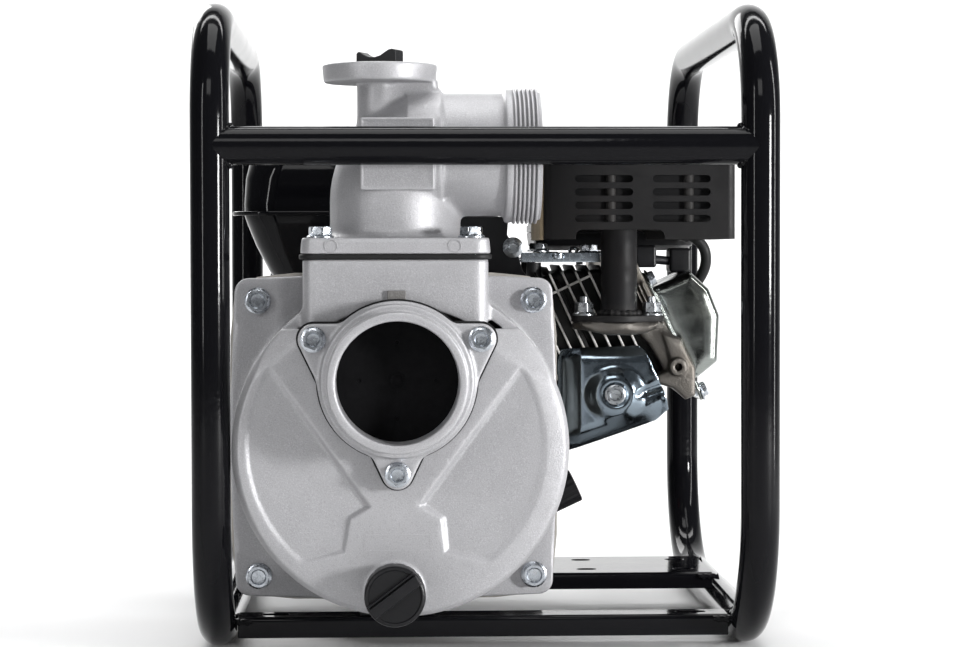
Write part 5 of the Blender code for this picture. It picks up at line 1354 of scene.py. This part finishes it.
def make_lower_shield():
    """The pressed zinc shield below the cylinder: folded edge, turned-back foot and a round emboss."""
    g = Block((0.048, -0.069, 0.115), (0.142, -0.03, 0.204), 0.00062)
    x, y, z = g.x, g.y, g.z
    outline = [(0.055, 0.1975), (0.1124, 0.1996), (0.1168, 0.1964), (0.1253, 0.1783), (0.1307, 0.1665)]
    outline += [(0.1339, 0.1547), (0.1253, 0.1462), (0.0632, 0.1247), (0.055, 0.1225)]
    shape = polygon_field(x, z, outline)
    surface = np.full_like(x * z, -0.0608) - 0.0022 * np.clip(1 - ((x - 0.098) / 0.03) ** 2, 0, 1)
    fold = np.clip(0.0715 - x, 0, 1)
    surface = surface + 0.25 * fold + 32.0 * fold * fold
    foot = np.clip((0.1395 + (x - 0.0632) * 0.343) - z, 0, 1)
    surface = surface + 0.15 * foot + 45.0 * foot * foot
    r = np.hypot(x - 0.0953, (z - 0.1654) * 1.05)
    emboss = np.clip((0.023 - r) / 0.012, 0, 1)
    surface = surface - 0.0042 * emboss * emboss * (3 - 2 * emboss)
    dish = np.clip((0.01 - r) / 0.0045, 0, 1)
    surface = surface + 0.0022 * dish * dish * (3 - 2 * dish)
    crease = z - 0.166 - (x - 0.114) * 0.35
    bead = np.exp(-((crease / 0.003) ** 2)) * np.clip((x - 0.108) / 0.01, 0, 1)
    surface = surface + 0.0026 * bead
    roll = np.clip((z - 0.188) / 0.01, 0, 1)
    surface = surface + 0.0046 * roll * roll
    slope = 1.25
    sheet = (np.abs(y - surface) - 0.0006) / slope
    solid = both(sheet, shape, 0.0004)
    stand_in("lower_shield", g.mesh(solid, 0.01), look=SHIELD_ZINC, smooth=None)
    head = bolt_shape((0.0953, -0.0649, 0.1654), (0, 1, 0), 0.0034, 0.008)
    piece("shield_bolt", head, "zinc_plate", look=GREY_ZINC)


def make_controls():
    plate = prism(rounded_rect((0.029, -0.048), (0.087, 0.05), 0.006, 6), 0.258, 0.26, "XY")
    lip = box((0.03, -0.05, 0.258), (0.086, -0.0482, 0.265))
    slot = prism(stadium((0.07, 0.0), 0.014, 0.006), 0.25, 0.27, "XY")
    stand_in("control_plate", soften(cut(plate, slot), 0.0004))
    piece("control_plate_lip", soften(lip, 0.0006), "zinc_plate")
    screws = []
    for sx, sy in ((0.04, 0.04), (0.078, 0.04)):
        screws.append(bolt_shape((sx, sy, 0.26), (0, 0, -1), 0.0026, 0.004))
    for sx, sy, rise in ((0.047, 0.031, 0.2655), (0.079, -0.038, 0.264)):
        screws.append(bolt_shape((sx, sy, rise), (0, 0, -1), 0.0036, 0.006))
        screws.append(soften(rod((sx, sy, 0.26), (sx, sy, rise - 0.0004), 0.0052, steps=24), 0.0005))
    spring = [
        (0.07 + 0.0026 * math.cos(t * 26), -0.025 + 0.03 * t, 0.266 + 0.0026 * math.sin(t * 26))
        for t in np.linspace(0, 1, 120)
    ]
    piece("control_screws", together(*screws), "zinc_plate", look=GREY_ZINC)
    piece("governor_spring", tube(spring, 0.0005, sides=8), "machined_steel")
    way = [(0.082, -0.03, 0.262), (0.09, 0.0, 0.264), (0.1, 0.045, 0.256), (0.104, 0.062, 0.244)]
    piece("governor_link", tube(way, 0.0011, sides=12), "zinc_plate")
    for node, pivot, end, plane, width in (
        ("throttle_lever", (0.056, 0.015), (0.056, -0.052), "XY", 0.01),
        ("choke_lever", (0.09, 0.235), (0.118, 0.235), "YZ", 0.01),
        ("fuel_valve_lever", (0.085, 0.215), (0.113, 0.215), "YZ", 0.01)
    ):
        base = 0.2603 if plane == "XY" else 0.1283
        arm = prism(
            hull(circle(pivot, width / 2 + 0.002, 32) + circle(end, width / 2, 24)), base, base + 0.003,
            plane
        )
        arm = soften(arm, 0.0006, 2)
        place = {"XY": lambda a, b, h: (a, b, h), "YZ": lambda a, b, h: (h, a, b)}[plane]
        hub = soften(rod(place(*pivot, base), place(*pivot, base + 0.0052), 0.0046, steps=32), 0.0006)
        pad = soften(
            rod(place(*end, base), place(*end, base + 0.0046), width / 2 - 0.0003, steps=32), 0.0008
        )
        stand_in(node, together(arm, hub, pad))
    knob = turned(
        [(0.0, 0.152), (0.01, 0.152), (0.0112, 0.1515), (0.012, 0.15), (0.012, 0.1403), (0.0, 0.1403)],
        (0.05, 0.0, 0.203), steps=64, wobble=lambda a,
        h: -0.0004 * (math.cos(20 * a) > 0.3) if h < 0.1499 else 0.0
    )
    bar = soften(box((0.0472, 0.15, 0.193), (0.0528, 0.158, 0.213)), 0.0014, 3)
    stand_in("engine_switch_knob", together(knob, bar))
    # Loom clips and the black moulded guides behind the muffler pipe.
    guides = [
        soften(box((0.114, -0.02, 0.254), (0.129, 0.01, 0.27)), 0.002, 3),
        soften(box((0.14, -0.005, 0.25), (0.156, 0.02, 0.268)), 0.0025, 3),
        rod((0.124, -0.01, 0.26), (0.148, 0.008, 0.258), 0.0032, steps=20)
    ]
    piece("wire_guides", together(*guides), "black_plastic")


def make_tank_bracket():
    """The folded bracket that rises from the crankcase beside the tank, with its bolt."""
    outline = [(-0.015, 0.207), (0.031, 0.207), (0.0375, 0.244), (0.0306, 0.2524), (0.0277, 0.2636)]
    outline += [(0.0263, 0.2651), (0.0277, 0.2685), (0.0253, 0.273), (0.0223, 0.2734), (0.0199, 0.2774)]
    outline += [(0.0209, 0.29), (-0.015, 0.29)]
    plate = soften(prism(outline, -0.0605, -0.0578), 0.0006, 2, 20)
    foot = soften(box((-0.015, -0.06, 0.2068), (0.015, -0.03, 0.2095)), 0.0006)
    piece("tank_bracket", together(plate, foot), "dark_casting", look=LOOKS["black_plastic"])
    piece(
        "tank_bracket_bolt", bolt_shape((0.024, -0.0605, 0.2685), (0, 1, 0), 0.0026, 0.004), "zinc_plate",
        look=GREY_ZINC
    )


def make_dipstick():
    base = DIPSTICK_SEAT
    seal = turned(
        [
            (0.0096, 0.0023), (0.01, 0.0018), (0.01, 0.0007), (0.0096, 0.0003), (0.0062, 0.0003),
            (0.0062, 0.0023)
        ],
        base, ALONG, 40, ring=True
    )
    stand_in("dipstick_seal", seal)
    cap = turned(
        [
            (0.0, 0.0246), (0.0085, 0.0246), (0.009, 0.025), (0.0108, 0.025), (0.0118, 0.0244),
            (0.012, 0.0236)
        ] + [(0.012, 0.004), (
            0.0114, 0.0026
        ), (0.0053, 0.0026), (0.0053, -0.015), (0.0018, -0.017)] + [(0.0018, -0.07), (0.0, -0.07)],
        base, ALONG, 96, wobble=lambda a,
        h: -0.0007 * (math.cos(16 * a) > 0.2) if 0.0035 < h < 0.024 else 0.0
    )
    grip = rod(base + ALONG * 0.023, base + ALONG * 0.025, 0.005, steps=6)
    stand_in("dipstick", together(cap, grip))


LEAD_POINTS = [
    (0.16, 0.057, 0.233), (0.168, 0.053, 0.244), (0.1725, 0.048, 0.255), (0.1715, 0.0445, 0.2665),
    (0.165, 0.0437, 0.2745), (0.156, 0.0437, 0.279)
]


def smooth_path(points, steps=6):
    """A smooth curve through the points."""
    points = [Vector(p) for p in points]
    padded = [points[0] * 2 - points[1], *points, points[-1] * 2 - points[-2]]
    path = []
    for a, b, c, d in zip(padded, padded[1:], padded[2:], padded[3:]):
        for i in range(steps):
            t = i / steps
            path.append(
                0.5 * (
                    (2 * b)
                    + (c - a) * t
                    + (2 * a - 5 * b + 4 * c - d) * t * t
                    + (3 * b - a - 3 * c + d) * t ** 3
                )
            )
    return path + [points[-1]]


def make_spark_lead():
    path = smooth_path(LEAD_POINTS)
    lead = tube(path, 0.004, sides=24)
    stand_in("spark_plug_lead", lead, name="spark_lead")
    inward = Vector((-0.002, 0.0005, -0.004))
    outward = path[-1] - path[-4]
    plug_boot = tube([path[0] + inward * 2, path[0] + inward, path[2]], 0.0058, sides=24)
    coil_boot = tube(
        [path[-1] - outward, path[-1], path[-1] + outward * 0.8], lambda s: 0.0056 + 0.0008 * s, sides=24
    )
    piece("spark_boots", together(plug_boot, coil_boot), "rubber")


# --- Tank, air cleaner, fan and starter -------------------------------------------------------------
def section(z, low, high, radius, steps=10):
    return [(x, y, z) for x, y in rounded_rect(low, high, radius, steps)]


def make_fuel_tank():
    sections = [
        (0.248, (-0.144, -0.014), (0.001, 0.112), 0.018),
        (0.2492, (-0.147, -0.0172), (0.0042, 0.1152), 0.02),
        (0.252, (-0.1488, -0.0186), (0.0056, 0.1166), 0.021),
        (0.27, (-0.158, -0.0235), (0.011, 0.1215), 0.023),
        (0.285, (-0.164, -0.0268), (0.0148, 0.125), 0.024),
        (0.291, (-0.166, -0.028), (0.016, 0.126), 0.024), (0.3, (-0.1662, -0.028), (0.016, 0.126), 0.024),
        (0.318, (-0.1652, -0.0272), (0.015, 0.1254), 0.026),
        (0.332, (-0.162, -0.025), (0.012, 0.123), 0.028),
        (0.34, (-0.1575, -0.0205), (0.007, 0.1185), 0.029),
        (0.346, (-0.151, -0.0145), (0.0, 0.1125), 0.03),
        (0.349, (-0.145, -0.0095), (-0.0065, 0.1075), 0.03),
        (0.35, (-0.14, -0.0055), (-0.0115, 0.1035), 0.03)
    ]
    body = loft([section(*row) for row in sections])
    seam_low, seam_high = (-0.1745, -0.036), (0.024, 0.134)
    seam = soften(prism(rounded_rect(seam_low, seam_high, 0.028, 10), 0.2915, 0.2945, "XY"), 0.0009, 3)
    groove = tube(
        [(x, y, 0.293) for x, y in rounded_rect((-0.1746, -0.0361), (0.0241, 0.1341), 0.028, 10)], 0.0003,
        True, 6
    )
    neck = turned(
        [
            (0.0192, 0.357), (0.0212, 0.357), (0.022, 0.3562), (0.022, 0.3505), (0.026, 0.3494),
            (0.0192, 0.347)
        ],
        TANK_NECK, "Z", 48, ring=True
    )
    stand_in("fuel_tank", together(body, seam, groove, neck), smooth=30)
    cap = turned(
        [(0.0, 0.3693), (0.018, 0.3693), (0.019, 0.37), (0.0265, 0.37), (0.0282, 0.3694), (0.029, 0.3682)] + [
            (0.029, 0.3525), (0.0284, 0.3515), (0.0235, 0.3515), (0.0235, 0.3593), (0.0185, 0.3593),
            (0.0185, 0.354)
        ] + [(0.0, 0.354)],
        TANK_NECK, "Z", 120, wobble=lambda a,
        h: -0.001 * (math.cos(24 * a) > 0.1) if 0.352 < h < 0.369 else 0.0
    )
    wing = soften(box((-0.064, 0.046, 0.3685), (-0.036, 0.054, 0.37)), 0.0006, 2)
    stand_in("fuel_cap", together(cap, wing))


def make_air_and_fuel():
    body = soften(box((0.088, 0.06, 0.208), (0.128, 0.11, 0.242)), 0.003, 3)
    bowl = turned(
        [
            (0.0, 0.18), (0.006, 0.18), (0.0062, 0.182), (0.014, 0.1822), (0.0168, 0.1845),
            (0.0172, 0.201)
        ] + [(0.0186, 0.2015), (0.0186, 0.204), (0.017, 0.205), (0.017, 0.215), (0.0, 0.215)],
        (0.108, 0.084, 0.0), "Z", 56
    )
    intake = soften(rod((0.108, 0.0523, 0.225), (0.108, 0.064, 0.225), 0.015), 0.001)
    flange = soften(prism(stadium((0.108, 0.225), 0.054, 0.026, 12), 0.0523, 0.058), 0.0012, 3)
    riser = soften(box((0.09, 0.105, 0.21), (0.126, 0.14, 0.266)), 0.005, 4)
    stand_in("carburetor", together(body, bowl, intake, flange, riser))
    screws = [
        bolt_shape((0.128, y, z), (-1, 0, 0), 0.0022, 0.004) for y,
        z in ((0.066, 0.214), (0.104, 0.214), (0.066, 0.237))
    ]
    screws += [
        bolt_shape((0.092, 0.06, 0.225), (0, -1, 0), 0.003),
        bolt_shape((0.124, 0.06, 0.225), (0, -1, 0), 0.003)
    ]
    piece("carburetor_screws", together(*screws), "zinc_plate", look=BOLT_ZINC)

    def cleaner_section(z, inset, radius):
        low = tuple(v + inset for v in CLEANER_LOW)
        high = tuple(v - inset for v in CLEANER_HIGH)
        return section(z, low, high, radius)

    lid = ((0.2803, 0.0, 0.013), (0.2853, 0.0, 0.013), (0.2859, 0.0012, 0.013), (0.339, 0.0048, 0.016))
    lid += ((0.342, 0.006, 0.016), (0.346, 0.009, 0.016), (0.348, 0.015, 0.016))
    cover = loft([cleaner_section(*row) for row in lid])
    ribs = []
    for x0, x1 in ((0.072, 0.091), (0.12, 0.139)):
        for y in (0.085, 0.095, 0.105, 0.115, 0.125):
            ribs.append(soften(box((x0, y - 0.0015, 0.3474), (x1, y + 0.0015, 0.3486)), 0.0004))
    stand_in("air_cleaner_cover", together(cover, *ribs), smooth=30)
    rows = ((0.2663, 0.007, 0.014), (0.27, 0.0012, 0.014), (0.279, 0.0, 0.014), (0.28, 0.0006, 0.014))
    tray = loft([cleaner_section(*row) for row in rows])
    clips = [soften(box((x, 0.164, 0.272), (x + 0.01, 0.167, 0.295)), 0.0008) for x in (0.07, 0.13)]
    stand_in("air_cleaner_base", together(tray, *clips))
    knob = turned(
        [
            (0.0, 0.358), (0.009, 0.358), (0.0106, 0.3574), (0.0112, 0.3565), (0.013, 0.35),
            (0.013, 0.3485), (0.0, 0.3485)
        ],
        (0.1055, 0.1085, 0.0), "Z", 80, wobble=lambda a,
        h: -0.0012 * (math.cos(10 * a) > 0.2) if h < 0.357 else 0.0
    )
    stand_in("air_cleaner_knob", knob)


def make_fan_and_starter():
    def scroll(radius, along, across):
        duct = [cylinder_point(along, c) for c in across]
        return hull(circle((AXIS_X, AXIS_Z), radius, 96) + [(p.x, p.z) for p in duct])

    outline = scroll(0.1, 0.145, (-0.048, 0.052))
    inset = scroll(0.098, 0.143, (-0.046, 0.05))
    shell = soften(prism(outline, 0.056, 0.14), 0.006, 5, 50)
    inside = soften(prism(inset, 0.04, 0.138), 0.0045, 4, 50)
    eye = rod((AXIS_X, 0.12, AXIS_Z), (AXIS_X, 0.15, AXIS_Z), 0.068, steps=72)
    below = box((-0.3, 0.03, 0.0), (0.3, 0.0562, 0.4))
    cover = cut(shell, inside, eye, below)
    stand_in("fan_cover", cover, smooth=35)
    bosses = []
    for angles, reach, y, thread_r in (
        ((20, 110, 200, 290), 0.088, 0.14, 0.003), ((60, 180, 300), 0.08, 0.1412, 0.0025)
    ):
        for a in angles:
            px, pz = AXIS_X + reach * math.cos(
                math.radians(a)
            ), AXIS_Z + reach * math.sin(math.radians(a))
            bosses.append(bolt_shape((px, y, pz), (0, -1, 0), thread_r, 0.004))
    piece("fan_cover_bolts", together(*bosses), "zinc_plate", look=BOLT_ZINC)
    centre = (AXIS_X, 0.0, AXIS_Z)
    outer = [
        (0.0, 0.185), (0.0355, 0.185), (0.0375, 0.1843), (0.039, 0.1832), (0.042, 0.1838), (0.044, 0.1836)
    ]
    outer += [
        (0.066, 0.1787), (0.068, 0.178), (0.07, 0.177), (0.075, 0.1718), (0.076, 0.17), (0.0775, 0.144)
    ]
    outer += [(0.084, 0.1432), (0.0845, 0.1424), (0.0845, 0.1403), (0.0, 0.1403)]
    inner = [
        (0.0, 0.1832), (0.037, 0.1832), (0.039, 0.1815), (0.0665, 0.1765), (0.0745, 0.169),
        (0.0762, 0.13), (0.0, 0.13)
    ]
    house = turned(outer, centre, steps=120)
    room = turned(inner, centre, steps=72)
    guide = soften(box((-0.132, 0.146, 0.192), (-0.09, 0.162, 0.216)), 0.002, 3)
    way = rod((-0.14, ROPE_Y, ROPE_Z), (-0.085, ROPE_Y, ROPE_Z), 0.0035, steps=24)
    vents = []
    for k in range(20):
        vent = prism(stadium((0.053, 0.0), 0.02, 0.0048, 8), 0.16, 0.2)
        turn = Matrix.Translation(centre) @ Matrix.Rotation(math.tau * k / 20, 4, "Y")
        vents.append(moved(vent, turn))
    for k in range(28):
        a = math.tau * k / 28
        if not 120 < math.degrees(a) < 160:
            slot = box((0.07, 0.148, -0.002), (0.083, 0.166, 0.002))
            vents.append(moved(slot, Matrix.Translation(centre) @ Matrix.Rotation(-a, 4, "Y")))
    house = cut(join(house, guide), room, way, together(*vents))
    stand_in("recoil_housing", house, smooth=35)
    post = rod((AXIS_X, 0.164, AXIS_Z), (AXIS_X, 0.1845, AXIS_Z), 0.008, steps=32)
    piece("recoil_post", post, "tank_paint")

    grip = tube(
        smooth_path(
            [(HANDLE_X, ROPE_Y, ROPE_Z + dz) for dz in (-0.045, -0.03, -0.015, 0.0, 0.015, 0.03, 0.045)],
            6
        ),
        lambda s: 0.006 + 0.0025 * math.sin(
            math.pi * min(1, max(0, s))
        ) ** 0.35 - 0.0006 * (math.cos(s * 120) > 0.6),
        sides=40
    )
    nose = turned(
        [
            (0.0, -0.014), (0.0085, -0.014), (0.0085, 0.0), (0.007, 0.009), (0.0055, 0.0145),
            (0.0028, 0.0145), (0.0026, 0.006), (0.0, 0.006)
        ],
        (HANDLE_X, ROPE_Y, ROPE_Z), "X", 40
    )
    stand_in("starter_handle", together(grip, nose))


def make_rope():
    """The starter rope: braided strands between the reel and the handle."""
    length = ROPE_START[0] - ROPE_END[0]
    steps = 60
    shapes = []
    for hand, phase in (
        (1, 0.0), (1, math.pi * 2 / 3), (1, math.pi * 4 / 3), (-1, 0.4), (-1, 2.5), (-1, 4.6)
    ):
        points = []
        for i in range(steps + 1):
            t = i / steps
            a = phase + hand * t * length / 0.01 * math.tau
            lay_y, lay_z = 0.0014 * math.cos(a), 0.0014 * math.sin(a)
            points.append((ROPE_START[0] - length * t, ROPE_Y + lay_y, ROPE_Z + lay_z))
        shapes.append(tube(points, 0.0008, sides=8))
    core = tube([(ROPE_START[0] - length * i / 20, ROPE_Y, ROPE_Z) for i in range(21)], 0.0016, sides=16)
    rope = together(core, *shapes)
    rope.name = rope.data.name = "pull_rope"
    rope.data.materials.append(LOOKS["rope"])
    rope.data.shade_smooth()
    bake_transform(rope)
    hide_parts("starter_rope")


ROUNDED = {
    "volute": 0.001, "mechanical_seal": 0.0004, "housing_seal_ring": 0.0006, "pump_bracket": 0.0016,
    "crankshaft": 0.0005, "impeller": 0.001, "flywheel": 0.001, "piston": 0.0006, "fuel_cap_seal": 0.0004,
    "recoil_reel": 0.0006
}


def round_the_rest():
    """Finer copies of the CAD solids that have no shape of their own here, with their edges rounded."""
    for node, width in ROUNDED.items():
        bm = bmesh.new()
        bm.from_mesh(frame["nodes"][node].data)
        bmesh.ops.remove_doubles(bm, verts=bm.verts, dist=1e-6)
        bmesh.ops.dissolve_limit(bm, angle_limit=math.radians(1.0), verts=bm.verts, edges=bm.edges)
        stand_in(node, soften(as_object(bm), width, 2, 40))


# --- Camera, floor and lights -----------------------------------------------------------------------
# Name, place, the point it faces, width and height, and watts.
LIGHTS = (
    ("key", (1.6, -1.38, 0.36), (-0.02, -0.2, 0.18), (0.3, 0.3), 40.0),
    ("high_fill", (-0.2, -2.4, 1.7), (-0.02, -0.1, 0.18), (1.0, 0.7), 9.0),
    ("fill_left", (-1.3, -1.6, 0.75), (0.0, 0.0, 0.2), (0.12, 1.3), 9.0),
    ("strip_right", (1.45, -0.35, 0.55), (0.0, 0.0, 0.2), (0.12, 1.5), 13.0),
    ("top", (0.0, -0.2, 1.9), (0.0, 0.0, 0.2), (1.0, 1.0), 13.0),
    ("rear", (-0.9, 1.7, 1.3), (0.0, 0.1, 0.2), (0.9, 0.9), 16.0),
    ("backdrop_light", (0.0, 1.1, 2.6), (0.0, 2.8, 0.7), (3.5, 0.8), 90.0)
)
CAMERA_PLACE = (-0.0638, -1.8521, 0.2668)
CAMERA_YAW, CAMERA_PITCH, CAMERA_ROLL = 0.038, 0.0287, -0.0019
LENS_MM, SENSOR_MM = 95.16, 36.0


def make_stage():
    data = bpy.data.cameras.new("camera")
    data.sensor_width = SENSOR_MM
    data.lens = LENS_MM
    camera = bpy.data.objects.new("camera", data)
    bpy.context.scene.collection.objects.link(camera)
    flat = math.cos(CAMERA_PITCH)
    forward = Vector((math.sin(CAMERA_YAW) * flat, math.cos(CAMERA_YAW) * flat, -math.sin(CAMERA_PITCH)))
    turn = forward.to_track_quat("-Z", "Y").to_matrix() @ Matrix.Rotation(CAMERA_ROLL, 3, "Z")
    camera.matrix_world = Matrix.Translation(CAMERA_PLACE) @ turn.to_4x4()
    bpy.context.scene.camera = camera

    # A floor that turns up smoothly into a backdrop far behind.
    rows = [(-9.0, 0.0), (-1.0, 0.0), (0.6, 0.0)]
    rows += [(1.6 + 1.2 * math.sin(t), 1.2 - 1.2 * math.cos(t)) for t in np.linspace(0, math.pi / 2, 16)]
    rows += [(2.8, 3.5)]
    bm = bmesh.new()
    verts = [[bm.verts.new((x, y, z - 0.0003)) for y, z in rows] for x in (-8.0, 8.0)]
    grid_faces(bm, verts, closed=False, wrap=False)
    floor = as_object(bm, "floor")
    floor.data.shade_smooth()
    n = Nodes("floor_paper", 0.75, 0.0)
    tone = n.ramp(n.noise(3.0, 3.0), [(0.3, (0.8, 0.8, 0.8)), (0.7, (0.83, 0.83, 0.83))])
    floor.data.materials.append(n.wire(Base_Color=tone))

    world = bpy.data.worlds.new("studio")
    world.use_nodes = True
    world.node_tree.nodes["Background"].inputs["Color"].default_value = (0.93, 0.96, 1.0, 1.0)
    world.node_tree.nodes["Background"].inputs["Strength"].default_value = 0.11
    bpy.context.scene.world = world

    for name, place, target, size, power in LIGHTS:
        light = bpy.data.lights.new(name, "AREA")
        light.shape = "RECTANGLE"
        light.size, light.size_y = size
        light.energy = power
        obj = bpy.data.objects.new(name, light)
        turn = (Vector(target) - Vector(place)).to_track_quat("-Z", "Y").to_matrix().to_4x4()
        obj.matrix_world = Matrix.Translation(place) @ turn
        bpy.context.scene.collection.objects.link(obj)

    bpy.context.scene.view_settings.view_transform = "Standard"
    bpy.context.scene.view_settings.exposure = 0.0


make_stage()
make_housing()
make_suction_flange()
make_check_valve()
make_elbow()
make_filler_cap()
make_drain_plug()
make_bolts()
make_frame()
make_fins()
make_crankcase()
make_head()
make_rocker_cover()
make_exhaust()
make_lower_shield()
make_controls()
make_tank_bracket()
make_dipstick()
make_spark_lead()
make_fuel_tank()
make_air_and_fuel()
make_fan_and_starter()
make_rope()
round_the_rest()
